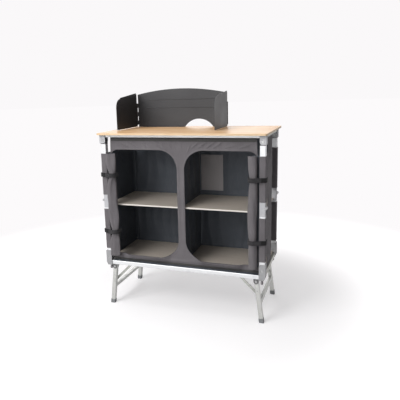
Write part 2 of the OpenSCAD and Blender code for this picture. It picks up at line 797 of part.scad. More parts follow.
module windshield_hinge_pins() {
    color("#9a9a98") shield_place() for (s = SIDES)
        translate([s * hinge_x, hinge_y - shield_y, hinge_low - 1]) {
            cylinder(r = hinge_pin_r, h = hinge_h + 2);
            for (z = [-0.8, hinge_h + 2]) translate([0, 0, z]) cylinder(r = hinge_r, h = 0.8);
        }
}

base_rail_front();
base_rail_rear();
base_side_rails();
base_corner_fittings();
base_pads();
base_pivot_pins();
leg_hinge_brackets();
leg_hinge_pins();
brace_rail_pins();
base_boards();
cupboard_floor();
cupboard_front();
cupboard_back();
cupboard_right_wall();
cupboard_left_wall();
cupboard_divider();
right_door_roll();
left_door_roll();
door_straps();
right_lower_tubes();
right_lower_eyes();
right_lower_elbows();
right_lower_sleeves();
right_upper_tubes();
right_upper_eyes();
right_upper_elbows();
right_upper_sleeves();
right_elbow_pins();
left_lower_tubes();
left_lower_eyes();
left_lower_elbows();
left_lower_sleeves();
left_upper_tubes();
left_upper_eyes();
left_upper_elbows();
left_upper_sleeves();
left_elbow_pins();
tabletop();
tabletop_edge_band();
top_rail_front();
top_rail_rear();
top_side_rails();
top_corner_blocks();
top_pivot_pins();
shelf_boards();
shelf_sling();
right_leg_frame();
right_feet();
left_leg_frame();
left_feet();
right_brace_upper();
right_brace_lower();
left_brace_upper();
left_brace_lower();
windshield_back();
windshield_right_wing();
windshield_left_wing();
windshield_hinge_pins();
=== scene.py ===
# Folding camp kitchen cabinet: the look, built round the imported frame
# Metres, +Z up, the front faces -Y, the origin is on the ground under the tabletop
import math
import bpy
import numpy as np
from mathutils import Matrix, Vector, noise
from mathutils.geometry import delaunay_2d_cdt


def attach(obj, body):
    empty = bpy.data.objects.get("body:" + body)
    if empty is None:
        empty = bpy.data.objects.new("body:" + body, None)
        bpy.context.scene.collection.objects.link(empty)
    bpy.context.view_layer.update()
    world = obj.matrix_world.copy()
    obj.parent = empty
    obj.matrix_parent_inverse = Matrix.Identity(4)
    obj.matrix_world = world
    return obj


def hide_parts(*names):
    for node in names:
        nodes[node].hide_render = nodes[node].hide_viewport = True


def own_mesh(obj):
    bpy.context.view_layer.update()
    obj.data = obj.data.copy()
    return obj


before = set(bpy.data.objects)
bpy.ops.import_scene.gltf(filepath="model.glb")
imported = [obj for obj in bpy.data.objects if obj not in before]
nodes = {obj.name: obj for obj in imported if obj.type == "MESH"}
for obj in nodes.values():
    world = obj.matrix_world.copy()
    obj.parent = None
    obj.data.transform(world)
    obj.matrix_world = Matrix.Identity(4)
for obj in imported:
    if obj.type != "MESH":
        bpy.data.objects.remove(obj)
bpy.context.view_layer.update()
print("frame loaded,", len(nodes), "nodes")


# Small tools

def colour(hexText):
    values = [int(hexText[i:i + 2], 16) / 255 for i in (1, 3, 5)]
    linear = [v / 12.92 if v <= 0.04045 else ((v + 0.055) / 1.055) ** 2.4 for v in values]
    return (*linear, 1.0)


def setInputs(tree, node, inputs):
    # An input takes a value, one output of another node, or a node, which gives its first live output
    for key, value in inputs.items():
        if isinstance(value, bpy.types.Node):
            value = next(socket for socket in value.outputs if socket.enabled)
        if isinstance(value, bpy.types.NodeSocket):
            tree.links.new(value, node.inputs[key])
        else:
            node.inputs[key].default_value = value


def addNode(tree, kind, inputs=None, **settings):
    node = tree.nodes.new(kind)
    for key, value in settings.items():
        setattr(node, key, value)
    setInputs(tree, node, inputs or {})
    return node


def newMaterial(name):
    material = bpy.data.materials.new(name)
    material.use_nodes = True
    tree = material.node_tree
    return material, tree, tree.nodes["Principled BSDF"]


def fadeTones(tree, pattern, low, high, first, second):
    # Where the pattern rises from low to high, the first tone gives way to the second
    tones = [colour(tone) if isinstance(tone, str) else tone for tone in (first, second)]
    share = addNode(tree, "ShaderNodeMapRange", {"Value": pattern, "From Min": low, "From Max": high})
    return addNode(tree, "ShaderNodeMix", {0: share, 6: tones[0], 7: tones[1]}, data_type="RGBA")


def addObject(name, data):
    thing = bpy.data.objects.new(name, data)
    bpy.context.scene.collection.objects.link(thing)
    return thing


def rounded(value):
    # To a hundredth of a millimetre, which drops the stray last digits of a mesh
    return round(value, 5)


def spanOf(name, axis):
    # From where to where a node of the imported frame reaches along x, y or z
    node = nodes[name]
    spots = [(node.matrix_world @ Vector(corner))["xyz".index(axis)] for corner in node.bound_box]
    return rounded(min(spots)), rounded(max(spots))


def centreOf(name, axis):
    return rounded(sum(spanOf(name, axis)) / 2)


# Camera, solved from the edges of the tabletop, the posts and the legs

cameraValues = {
    "place": (0.7066, -2.1403, 1.0274),
    "yaw": 0.357,
    "pitch": 0.200,
    "roll": 0.030,
    "lens": 42.37,
    "sensor": 36,
    "shiftX": 0.0627,
    "shiftY": -0.0316,
    "clipEnd": 200,
}


def makeCamera():
    v = cameraValues
    forward = Vector((-math.sin(v["yaw"]) * math.cos(v["pitch"]),
                      math.cos(v["yaw"]) * math.cos(v["pitch"]), -math.sin(v["pitch"])))
    right = Vector((math.cos(v["yaw"]), math.sin(v["yaw"]), 0))
    down = forward.cross(right)
    tilt = v["roll"]
    across = math.cos(tilt) * right + math.sin(tilt) * down
    below = -math.sin(tilt) * right + math.cos(tilt) * down
    data = bpy.data.cameras.new("camera")
    data.lens = v["lens"]
    data.sensor_width = v["sensor"]
    data.shift_x = v["shiftX"]
    data.shift_y = v["shiftY"]
    data.clip_end = v["clipEnd"]
    camera = addObject("camera", data)
    turn = Matrix((across, -below, -forward)).transposed().to_4x4()
    camera.matrix_world = Matrix.Translation(v["place"]) @ turn
    bpy.context.scene.camera = camera


makeCamera()
print("camera placed")

# Studio: large soft lamps in front on the left and low in front, one above, one behind

lampValues = {
    "key": {"place": (-1.3, -2.2, 2.3), "size": 1.6, "power": 52},
    "front": {"place": (-0.5, -3.3, 1.4), "size": 2.0, "power": 31},
    "top": {"place": (-0.2, -0.3, 3.4), "size": 2.4, "power": 38},
    "back": {"place": (-1.2, 3.2, 2.4), "size": 2.4, "power": 24},
}
lampAim = (0, 0, 0.45)
worldValues = {"sky": "#ffffff", "light": 0.17, "seen": "#faf8f9"}


def seenDirectly(tree):
    # 1 for what the camera or a shiny surface looks at, 0 for the light on the object
    path = addNode(tree, "ShaderNodeLightPath").outputs
    return addNode(tree, "ShaderNodeMath", {0: path["Is Camera Ray"], 1: path["Is Glossy Ray"]},
                   operation="MAXIMUM")


def makeLight():
    for name, v in lampValues.items():
        data = bpy.data.lights.new(name, "AREA")
        data.shape = "SQUARE"
        data.size = v["size"]
        data.energy = v["power"]
        lamp = addObject(name, data)
        aim = Vector(lampAim) - Vector(v["place"])
        lamp.rotation_euler = aim.to_track_quat("-Z", "Y").to_euler()
        lamp.location = v["place"]
    v = worldValues
    world = bpy.data.worlds.new("studio")
    bpy.context.scene.world = world
    world.use_nodes = True
    tree = world.node_tree
    tree.nodes.clear()
    soft = addNode(tree, "ShaderNodeBackground", {"Color": colour(v["sky"]), "Strength": v["light"]})
    seen = addNode(tree, "ShaderNodeBackground", {"Color": colour(v["seen"]), "Strength": 1.0})
    both = addNode(tree, "ShaderNodeMixShader", {0: seenDirectly(tree), 1: soft, 2: seen})
    addNode(tree, "ShaderNodeOutputWorld", {"Surface": both})


floorValues = {
    "near": "#f1f0f1",
    "cloud": "#edeced",
    "cloudScale": 3.0,  # clouds about 330 mm across
    "bounce": "#a3a2a3",
    "far": "#fcfafb",
    "fadeFrom": 0.6,
    "fadeTo": 1.9,
    "reach": 40.0,
    "sides": 96,
    "glow": 0.13,
    "nearStrength": 3.0,
}


def paperFloor(name):
    # Matt seamless paper: an even pale sheet that takes a soft shadow and fades into the background
    v = floorValues
    material, tree, shader = newMaterial(name)
    place = addNode(tree, "ShaderNodeTexCoord").outputs["Object"]
    grain = addNode(tree, "ShaderNodeTexNoise", {"Vector": place, "Scale": v["cloudScale"], "Detail": 4.0})
    tone = fadeTones(tree, grain, 0.3, 0.7, v["near"], v["cloud"])
    seen = seenDirectly(tree)
    paper = addNode(tree, "ShaderNodeMix", {0: seen, 6: colour(v["bounce"]), 7: tone}, data_type="RGBA")
    setInputs(tree, shader, {"Base Color": paper, "Roughness": 0.95, "Specular IOR Level": 0.1})
    distance = addNode(tree, "ShaderNodeVectorMath", {0: place}, operation="LENGTH")
    fade = addNode(tree, "ShaderNodeMapRange", {"Value": distance.outputs["Value"], "From Min": v["fadeFrom"],
                                                "From Max": v["fadeTo"]}, interpolation_type="SMOOTHSTEP")
    share = addNode(tree, "ShaderNodeMapRange", {"Value": fade, "To Min": v["glow"], "To Max": 1.0})
    amount = addNode(tree, "ShaderNodeMath", {0: share, 1: seen}, operation="MULTIPLY")
    strength = addNode(tree, "ShaderNodeMapRange", {"Value": fade, "To Min": v["nearStrength"],
                                                    "To Max": 1.0})
    glow = addNode(tree, "ShaderNodeEmission", {"Color": colour(v["far"]), "Strength": strength})
    both = addNode(tree, "ShaderNodeMixShader", {0: amount, 1: shader, 2: glow})
    setInputs(tree, tree.nodes["Material Output"], {"Surface": both})
    return material


def makeFloor():
    reach, count = floorValues["reach"], floorValues["sides"]
    ring = [(reach * math.cos(2 * math.pi * i / count), reach * math.sin(2 * math.pi * i / count), 0)
            for i in range(count)]
    mesh = bpy.data.meshes.new("floor")
    mesh.from_pydata(ring, [], [tuple(range(count))])
    mesh.materials.append(paperFloor("paper floor"))
    addObject("floor", mesh)


makeLight()
makeFloor()
print("studio lit")

# Hard materials: a pattern's scale is its repeats in a metre, with the real size beside it

aluminiumValues = {
    "dieLines": 2600.0,  # die lines about 0.4 mm apart
    "tubeStreaks": 9.0,  # streaks about 110 mm long
    "legStreaks": 30.0,
    "stripStreaks": 60.0,
    "marks": 22.0,  # handling marks about 45 mm across
}


def satinAluminium(name, tone, stretch, roughness=0.36, metal=0.85):
    # Extruded aluminium tube, satin anodised: fine die lines along its length and a soft bright sheen
    material, tree, shader = newMaterial(name)
    place = addNode(tree, "ShaderNodeTexCoord").outputs["Object"]
    along = addNode(tree, "ShaderNodeMapping", {"Vector": place, "Scale": stretch})
    lines = addNode(tree, "ShaderNodeTexNoise", {"Vector": along, "Scale": 1.0, "Detail": 3.0})
    marks = addNode(tree, "ShaderNodeTexNoise", {"Vector": place, "Scale": aluminiumValues["marks"],
                                                 "Detail": 4.0})
    dull = fadeTones(tree, lines, 0.3, 0.7, tone[0], tone[1])
    final = fadeTones(tree, marks, 0.56, 0.74, dull, tone[2])
    rough = addNode(tree, "ShaderNodeMapRange", {"Value": marks, "From Min": 0.3, "From Max": 0.7,
                                                 "To Min": roughness - 0.05, "To Max": roughness + 0.08})
    bump = addNode(tree, "ShaderNodeBump", {"Height": lines, "Strength": 0.25, "Distance": 0.0002})
    setInputs(tree, shader, {"Base Color": final, "Metallic": metal, "Roughness": rough, "Normal": bump})
    return material


nylonValues = {
    "flow": 34.0,  # flow marks about 30 mm across
    "spark": 900.0,  # spark eroded grain about 1 mm, drawn coarser so that it shows
}


def mouldedNylon(name, tone, roughness=0.5):
    # Injection moulded nylon: an even body colour, a fine spark-eroded grain and faint flow marks
    v = nylonValues
    material, tree, shader = newMaterial(name)
    place = addNode(tree, "ShaderNodeTexCoord").outputs["Object"]
    flow = addNode(tree, "ShaderNodeTexNoise", {"Vector": place, "Scale": v["flow"], "Detail": 3.0,
                                                "Distortion": 1.2})
    spark = addNode(tree, "ShaderNodeTexNoise", {"Vector": place, "Scale": v["spark"], "Detail": 2.0})
    body = fadeTones(tree, flow, 0.3, 0.7, tone[0], tone[1])
    rough = addNode(tree, "ShaderNodeMapRange", {"Value": spark, "From Min": 0.3, "From Max": 0.7,
                                                 "To Min": roughness - 0.06, "To Max": roughness + 0.08})
    bump = addNode(tree, "ShaderNodeBump", {"Height": spark, "Strength": 0.3, "Distance": 0.0003})
    setInputs(tree, shader, {"Base Color": body, "Roughness": rough, "Normal": bump})
    return material


zincPatches = 160.0  # passivation patches about 6 mm across


def platedSteel(name, tone, roughness=0.3):
    # Zinc plated steel: a bright grey metal with cloudy passivation patches
    material, tree, shader = newMaterial(name)
    place = addNode(tree, "ShaderNodeTexCoord").outputs["Object"]
    cloud = addNode(tree, "ShaderNodeTexNoise", {"Vector": place, "Scale": zincPatches, "Detail": 4.0})
    body = fadeTones(tree, cloud, 0.35, 0.65, tone[0], tone[1])
    rough = addNode(tree, "ShaderNodeMapRange", {"Value": cloud, "From Min": 0.3, "From Max": 0.7,
                                                 "To Min": roughness, "To Max": roughness + 0.15})
    setInputs(tree, shader, {"Base Color": body, "Metallic": 0.9, "Roughness": rough})
    return material


coatValues = {
    "peel": 420.0,  # orange peel about 2.4 mm across
    "haze": 7.0,  # uneven film over about 140 mm
    "roughness": 0.44,
}


def powderCoat(name, tone):
    # Powder coated steel sheet: a satin charcoal film with the orange peel of flowed powder
    v = coatValues
    material, tree, shader = newMaterial(name)
    place = addNode(tree, "ShaderNodeTexCoord").outputs["Object"]
    peel = addNode(tree, "ShaderNodeTexNoise", {"Vector": place, "Scale": v["peel"], "Detail": 2.0})
    haze = addNode(tree, "ShaderNodeTexNoise", {"Vector": place, "Scale": v["haze"], "Detail": 4.0})
    body = fadeTones(tree, haze, 0.3, 0.7, tone[0], tone[1])
    fleck = fadeTones(tree, peel, 0.58, 0.72, body, tone[2])
    rough = addNode(tree, "ShaderNodeMapRange", {"Value": haze, "From Min": 0.3, "From Max": 0.7,
                                                 "To Min": v["roughness"] - 0.05,
                                                 "To Max": v["roughness"] + 0.07})
    bump = addNode(tree, "ShaderNodeBump", {"Height": peel, "Strength": 0.3, "Distance": 0.0004})
    setInputs(tree, shader, {"Base Color": fleck, "Roughness": rough, "Normal": bump})
    return material


topValues = {
    "light": "#ecc79c",
    "middle": "#e2b788",
    "dark": "#cf9f6c",
    "ring": "#bd8a58",
    "underside": "#cdc9c3",
    "stripWidth": 0.024,  # one laminated strip
    "grainWidth": 0.0016,
    "grainShare": 60,  # how many times longer than wide the grain is
    "figure": (2.5, 45.0, 45.0),  # figure about 400 mm long and 22 mm wide
    "undersideZ": rounded(spanOf("tabletop", "z")[0] + 0.0003),  # only the lowest skin counts
    "edge": ("#f6dab4", "#e6bf90"),
    "pores": (26.0, 26.0, 700.0),  # pores about 40 mm long and 1.4 mm high
}


def bambooLaminate(name):
    # Laminated bamboo board, lacquered: narrow strips side by side, each with long fine grain
    v = topValues
    material, tree, shader = newMaterial(name)
    place = addNode(tree, "ShaderNodeTexCoord").outputs["Object"]
    split = addNode(tree, "ShaderNodeSeparateXYZ", {0: place}).outputs
    lane = addNode(tree, "ShaderNodeMath", {0: split["Y"], 1: v["stripWidth"]}, operation="DIVIDE")
    laneId = addNode(tree, "ShaderNodeMath", {0: lane}, operation="FLOOR")
    tint = addNode(tree, "ShaderNodeTexWhiteNoise", {"W": laneId}, noise_dimensions="1D")
    wave = 1 / v["grainWidth"]
    along = addNode(tree, "ShaderNodeMapping", {"Vector": place,
                                                "Scale": (wave / v["grainShare"], wave, wave)})
    grain = addNode(tree, "ShaderNodeTexNoise", {"Vector": along, "Scale": 1.0, "Detail": 5.0,
                                                 "Distortion": 0.4})
    wide = addNode(tree, "ShaderNodeMapping", {"Vector": place, "Scale": v["figure"]})
    figure = addNode(tree, "ShaderNodeTexNoise", {"Vector": wide, "Scale": 1.0, "Detail": 4.0,
                                                  "Distortion": 1.6})
    base = addNode(tree, "ShaderNodeMix", {0: tint, 6: colour(v["light"]), 7: colour(v["middle"])},
                   data_type="RGBA")
    streak = fadeTones(tree, figure, 0.42, 0.66, base, v["dark"])
    line = fadeTones(tree, grain, 0.6, 0.8, streak, v["ring"])
    under = addNode(tree, "ShaderNodeMath", {0: split["Z"], 1: v["undersideZ"]}, operation="LESS_THAN")
    final = addNode(tree, "ShaderNodeMix", {0: under, 6: line, 7: colour(v["underside"])}, data_type="RGBA")
    bump = addNode(tree, "ShaderNodeBump", {"Height": grain, "Strength": 0.15, "Distance": 0.0002})
    setInputs(tree, shader, {"Base Color": final, "Roughness": 0.42, "Coat Weight": 0.12,
                             "Coat Roughness": 0.25, "Normal": bump})
    return material


def edgeBand(name):
    # Thin glued edge strip in a paler print of the same wood, with short pores along it
    v = topValues
    material, tree, shader = newMaterial(name)
    place = addNode(tree, "ShaderNodeTexCoord").outputs["Object"]
    along = addNode(tree, "ShaderNodeMapping", {"Vector": place, "Scale": v["pores"]})
    grain = addNode(tree, "ShaderNodeTexNoise", {"Vector": along, "Scale": 1.0, "Detail": 4.0})
    body = fadeTones(tree, grain, 0.35, 0.7, *v["edge"])
    bump = addNode(tree, "ShaderNodeBump", {"Height": grain, "Strength": 0.2, "Distance": 0.0002})
    setInputs(tree, shader, {"Base Color": body, "Roughness": 0.45, "Normal": bump})
    return material


boardValues = {
    "top": "#c6bcb1",
    "speck": "#afa59a",
    "speckScale": 260.0,  # specks about 4 mm apart
    "cloud": "#b9aea2",
    "print": (8.0, 120.0, 120.0),  # printed streaks about 125 mm long and 8 mm wide
    "edge": "#f6f1e8",
    "frontY": rounded(spanOf("shelf_boards", "y")[0] + 0.0006),  # the edge strip is this thick
}


def melamineBoard(name):
    # Melamine faced fibreboard: a greige print with fine specks, and a cream edge strip in front
    v = boardValues
    material, tree, shader = newMaterial(name)
    place = addNode(tree, "ShaderNodeTexCoord").outputs["Object"]
    split = addNode(tree, "ShaderNodeSeparateXYZ", {0: place}).outputs
    speck = addNode(tree, "ShaderNodeTexNoise", {"Vector": place, "Scale": v["speckScale"], "Detail": 3.0})
    along = addNode(tree, "ShaderNodeMapping", {"Vector": place, "Scale": v["print"]})
    pattern = addNode(tree, "ShaderNodeTexNoise", {"Vector": along, "Scale": 1.0, "Detail": 3.0})
    body = fadeTones(tree, speck, 0.5, 0.72, v["top"], v["speck"])
    body = fadeTones(tree, pattern, 0.45, 0.75, body, v["cloud"])
    front = addNode(tree, "ShaderNodeMath", {0: split["Y"], 1: v["frontY"]}, operation="LESS_THAN")
    final = addNode(tree, "ShaderNodeMix", {0: front, 6: body, 7: colour(v["edge"])}, data_type="RGBA")
    bump = addNode(tree, "ShaderNodeBump", {"Height": speck, "Strength": 0.15, "Distance": 0.0002})
    setInputs(tree, shader, {"Base Color": final, "Roughness": 0.5, "Normal": bump})
    return material


rubberBloom = 70.0  # dusty patches about 14 mm across


def mouldedRubber(name, tone):
    # Moulded rubber: matt, with a dusty bloom in patches
    material, tree, shader = newMaterial(name)
    place = addNode(tree, "ShaderNodeTexCoord").outputs["Object"]
    bloom = addNode(tree, "ShaderNodeTexNoise", {"Vector": place, "Scale": rubberBloom, "Detail": 5.0})
    body = fadeTones(tree, bloom, 0.42, 0.7, tone[0], tone[1])
    bump = addNode(tree, "ShaderNodeBump", {"Height": bloom, "Strength": 0.2, "Distance": 0.0004})
    setInputs(tree, shader, {"Base Color": body, "Roughness": 0.75, "Normal": bump})
    return material


dieLines, tubeStreaks = aluminiumValues["dieLines"], aluminiumValues["tubeStreaks"]
legStreaks, stripStreaks = aluminiumValues["legStreaks"], aluminiumValues["stripStreaks"]
# The post and top rail copies of the anodised finish are near white: painted highlight of the lit metal
litUprightTube = satinAluminium("satin anodised aluminium post, painted highlight", ("#f2f2f4", "#eaebed", "#dfe0e3"),
                             (dieLines, dieLines, tubeStreaks), 0.38, 0.30)
litTopTube = satinAluminium("aluminium top rail, painted highlight", ("#fffefd", "#fbfaf9", "#f4f3f2"),
                         (tubeStreaks, dieLines, dieLines), 0.34, 0.15)
acrossTube = satinAluminium("satin anodised aluminium cross rail", ("#dfe0e1", "#d4d6d7", "#c8cacc"),
                            (tubeStreaks, dieLines, dieLines))
# The side rail copy of the anodised finish is mid grey: painted shade on the rails' outer faces
shadedDepthTube = satinAluminium("satin anodised aluminium side rail, painted shade", ("#a3a49f", "#96978f", "#8a8b84"),
                           (dieLines, tubeStreaks, dieLines), 0.42)
legTube = satinAluminium("satin anodised aluminium leg", ("#c6c7c4", "#babbb8", "#a9aaa7"),
                         (dieLines, dieLines, legStreaks), 0.40)
braceStrip = satinAluminium("pressed aluminium brace strip", ("#b6b7b2", "#a8a9a4", "#979892"),
                            (stripStreaks, dieLines, stripStreaks), 0.44)
paleNylon = mouldedNylon("pale grey moulded nylon", ("#cfcfd2", "#c4c4c8"))
lowNylon = mouldedNylon("mid grey moulded nylon", ("#b4b4b6", "#a8a8aa"))
darkNylon = mouldedNylon("dark grey moulded nylon", ("#6e6e70", "#626264"))
pinSteel = platedSteel("zinc plated steel pin", ("#b4b5b5", "#9a9b9b"))
bracketSteel = platedSteel("grey passivated steel bracket", ("#747474", "#626262"), 0.38)
shieldCoat = powderCoat("charcoal powder coated steel", ("#27272a", "#212124", "#303035"))
# The left wing takes a darker copy of the charcoal coat: painted shade and painted reflection
shadedWingCoat = powderCoat("charcoal powder coated steel, painted shade and reflection", ("#242426", "#1e1e20", "#2e2e31"))
topBoard = bambooLaminate("lacquered bamboo laminate")
topEdge = edgeBand("pale edge strip")
shelfBoard = melamineBoard("melamine faced fibreboard")
padRubber = mouldedRubber("grey moulded rubber", ("#8d898c", "#a09c9f"))
footRubber = mouldedRubber("grey moulded foot rubber", ("#8a8c8e", "#999b9d"))

finishes = {
    litUprightTube: ["right_lower_tubes", "right_upper_tubes", "left_lower_tubes", "left_upper_tubes"],
    acrossTube: ["base_rail_front", "base_rail_rear"],
    litTopTube: ["top_rail_front", "top_rail_rear"],
    shadedDepthTube: ["base_side_rails", "top_side_rails"],
    legTube: ["right_leg_frame", "left_leg_frame"],
    braceStrip: ["right_brace_upper", "right_brace_lower", "left_brace_upper", "left_brace_lower"],
    paleNylon: ["top_corner_blocks", "right_lower_elbows", "right_upper_elbows", "left_lower_elbows",
                "left_upper_elbows"],
    lowNylon: ["base_corner_fittings"],
    darkNylon: ["right_lower_eyes", "right_upper_eyes", "left_lower_eyes", "left_upper_eyes"],
    pinSteel: ["base_pivot_pins", "top_pivot_pins", "right_elbow_pins", "left_elbow_pins", "leg_hinge_pins",
               "windshield_hinge_pins"],
    bracketSteel: ["leg_hinge_brackets", "brace_rail_pins"],
    shieldCoat: ["windshield_back", "windshield_right_wing"],
    shadedWingCoat: ["windshield_left_wing"],
    topBoard: ["tabletop"],
    topEdge: ["tabletop_edge_band"],
    shelfBoard: ["shelf_boards", "base_boards"],
    padRubber: ["base_pads"],
    footRubber: ["right_feet", "left_feet"],
}
for material, names in finishes.items():
    for name in names:
        for part in nodes[name].material_slots:
            part.material = material
print("hard finishes set")

# Cloth materials

clothValues = {
    "threadPitch": 0.0022,  # real threads lie 0.5 mm apart: drawn coarser so that they show
    "slubLength": 0.045,
    "slubWidth": 0.0016,
    "cloud": 9.0,  # faded patches about 110 mm across
}


def wovenCloth(name, tones, roughness, sheen, weaveDepth):
    # Polyester oxford cloth: plain weave of thick and thin yarns, matt with a soft sheen at grazing angles
    v = clothValues
    material, tree, shader = newMaterial(name)
    flat = addNode(tree, "ShaderNodeUVMap", uv_map="flat")
    turn = 2 * math.pi / v["threadPitch"]
    threads = addNode(tree, "ShaderNodeMapping", {"Vector": flat, "Scale": (turn, turn, 1.0)})
    split = addNode(tree, "ShaderNodeSeparateXYZ", {0: threads}).outputs
    warp = addNode(tree, "ShaderNodeMath", {0: split["X"]}, operation="SINE")
    weft = addNode(tree, "ShaderNodeMath", {0: split["Y"]}, operation="SINE")
    weave = addNode(tree, "ShaderNodeMath", {0: warp, 1: weft}, operation="MULTIPLY")
    slubs = addNode(tree, "ShaderNodeMapping", {"Vector": flat,
                                                "Scale": (1 / v["slubWidth"], 1 / v["slubLength"], 1.0)})
    slub = addNode(tree, "ShaderNodeTexNoise", {"Vector": slubs, "Scale": 1.0, "Detail": 3.0})
    cloud = addNode(tree, "ShaderNodeTexNoise", {"Vector": flat, "Scale": v["cloud"], "Detail": 4.0})
    body = fadeTones(tree, weave, -1.0, 1.0, tones[0], tones[1])
    body = fadeTones(tree, slub, 0.5, 0.8, body, tones[2])
    body = fadeTones(tree, cloud, 0.35, 0.75, body, tones[0])
    relief = addNode(tree, "ShaderNodeMath", {0: slub, 1: weave}, operation="ADD")
    bump = addNode(tree, "ShaderNodeBump", {"Height": relief, "Strength": weaveDepth, "Distance": 0.0004})
    setInputs(tree, shader, {"Base Color": body, "Roughness": roughness, "Sheen Weight": sheen,
                             "Sheen Roughness": 0.4, "Specular IOR Level": 0.3, "Normal": bump})
    return material


outerCloth = wovenCloth("grey polyester oxford cloth", ("#6f6b6e", "#7c787b", "#868285"), 0.8, 0.12, 0.5)
liningCloth = wovenCloth("blue grey coated lining", ("#4d5259", "#565b63", "#5f646c"), 0.5, 0.05, 0.25)
pocketCloth = wovenCloth("light grey pocket cloth", ("#a8a4a5", "#b4b0b1", "#bcb8b9"), 0.8, 0.1, 0.4)
webbing = wovenCloth("black polypropylene webbing", ("#262527", "#343235", "#3d3b3e"), 0.6, 0.1, 0.8)
hookTape = wovenCloth("black hook tape", ("#161617", "#222223", "#2a2a2b"), 0.95, 0.2, 0.9)
# Dark tape for the bound bottom edge, and for the strip under the top rail, which is painted shade
trimAndShadeTape = wovenCloth("dark grey bound edge and painted shade strip", ("#4c4b4a", "#575655", "#605f5e"), 0.8, 0.1, 0.5)
thread = mouldedNylon("grey polyester thread", ("#8f8b8e", "#817d80"), 0.6)
zipNylon = mouldedNylon("black nylon zip coil", ("#242426", "#303032"), 0.4)


# Cloth building

def refine(points, step, closed=True):
    result = []
    ends = list(zip(points, points[1:] + points[:1])) if closed else list(zip(points, points[1:]))
    for a, b in ends:
        count = max(1, int(math.dist(a, b) / step + 0.5))
        for i in range(count):
            result.append(tuple(p + (q - p) * i / count for p, q in zip(a, b)))
    if not closed:
        result.append(tuple(points[-1]))
    return result


def arc(centre, radius, start, end, step):
    count = max(3, int(abs(math.radians(end - start)) * radius / step) + 2)
    turns = [math.radians(start + (end - start) * i / (count - 1)) for i in range(count)]
    return [(centre[0] + radius * math.cos(a), centre[1] + radius * math.sin(a)) for a in turns]


def offsetLoop(loop, distance):
    result = []
    count = len(loop)
    for i in range(count):
        before, here, after = loop[i - 1], loop[i], loop[(i + 1) % count]
        along = Vector((after[0] - before[0], after[1] - before[1]))
        if along.length < 1e-9:
            continue
        along.normalize()
        result.append((here[0] - along.y * distance, here[1] + along.x * distance))
    return result


def insideLoops(points, loops):
    inside = np.zeros(len(points), bool)
    for loop in loops:
        a = np.array(loop)
        b = np.roll(a, -1, axis=0)
        for (x0, y0), (x1, y1) in zip(a, b):
            if y0 == y1:
                continue
            crosses = (y0 > points[:, 1]) != (y1 > points[:, 1])
            at = (x1 - x0) * (points[:, 1] - y0) / (y1 - y0) + x0
            inside ^= crosses & (points[:, 0] < at)
    return inside


def nearestTo(points, targets):
    return np.array([np.sqrt(((targets - p) ** 2).sum(axis=1).min()) for p in points])


sharpAngle = math.radians(50)


def makePiece(name, points, faces, materials, faceMaterials, flat):
    # The flat layer holds each point's place on the flat cloth, which the weave follows
    mesh = bpy.data.meshes.new(name)
    mesh.from_pydata([tuple(p) for p in points], [], faces)
    for material in materials:
        mesh.materials.append(material)
    mesh.polygons.foreach_set("material_index", faceMaterials)
    layer = mesh.uv_layers.new(name="flat")
    index = np.empty(len(mesh.loops), dtype=np.int32)
    mesh.loops.foreach_get("vertex_index", index)
    layer.data.foreach_set("uv", np.asarray(flat, dtype=np.float32)[index].ravel())
    mesh.shade_smooth()
    mesh.set_sharp_from_angle(angle=sharpAngle)
    mesh.update()
    return addObject(name, mesh)


def clothShell(name, points, faces, flat, thickness, materials):
    # Both faces and the cut edge of a sheet: its own side takes the first material, the other the second
    place = np.array(points, float)
    count = len(place)
    normal = np.zeros_like(place)
    for face in faces:
        a, b, c = (place[i] for i in face[:3])
        n = np.cross(b - a, c - a)
        for i in face:
            normal[i] += n
    normal /= np.maximum(np.linalg.norm(normal, axis=1), 1e-12)[:, None]
    half = (np.asarray(thickness, float) / 2 * np.ones(count))[:, None]
    both = np.concatenate([place + normal * half, place - normal * half])
    edges = set()
    for face in faces:
        for a, b in zip(face, face[1:] + face[:1]):
            edges.add((a, b))
    shell = list(faces)
    shell += [tuple(i + count for i in reversed(face)) for face in faces]
    rim = [(b, a, a + count, b + count) for a, b in edges if (b, a) not in edges]
    rim.sort()
    slots = [0] * len(faces) + [len(materials) - 1] * len(faces) + [0] * len(rim)
    return makePiece(name, both, shell + rim, materials, slots, list(flat) * 2)


def gridFaces(rows, wide, turned):
    # Quads of a grid whose points run along each row, turned where the piece is the mirrored one
    faces = []
    for j in range(rows):
        for i in range(wide - 1):
            a = j * wide + i
            quad = (a, a + 1, a + wide + 1, a + wide)
            faces.append(tuple(reversed(quad)) if turned else quad)
    return faces


def lengthsAlong(path):
    lengths = [0.0]
    for a, b in zip(path, path[1:]):
        lengths.append(lengths[-1] + math.dist(a, b))
    return lengths


def ribbon(path, z0, z1, side, columns=4):
    # A band that stands on edge along a path seen from above
    points, flat, faces = [], [], []
    lengths = lengthsAlong(path)
    for (x, y), along in zip(path, lengths):
        for k in range(columns + 1):
            z = z0 + (z1 - z0) * k / columns
            points.append((side * x, y, z))
            flat.append((along, z))
    wide = columns + 1
    for i in range(len(path) - 1):
        for k in range(columns):
            a = i * wide + k
            quad = (a, a + wide, a + wide + 1, a + 1)
            faces.append(quad if side > 0 else tuple(reversed(quad)))
    return points, flat, faces, lengths[-1]


hemValues = {
    "width": 0.0068,
    "extra": 0.0008,
    "foldStep": 0.0012,
    "stitchIn": 0.0045,
    "step": 0.009,
    "rowShare": 0.87,  # rows of the grid stand this share of a step apart
    "edgeStep": 0.006,
    "thickness": 0.0010,
    "slack": 1.02,  # points this much past the hem's width still count as hem
    "weld": 1e-7,
}
stitchPaths = []


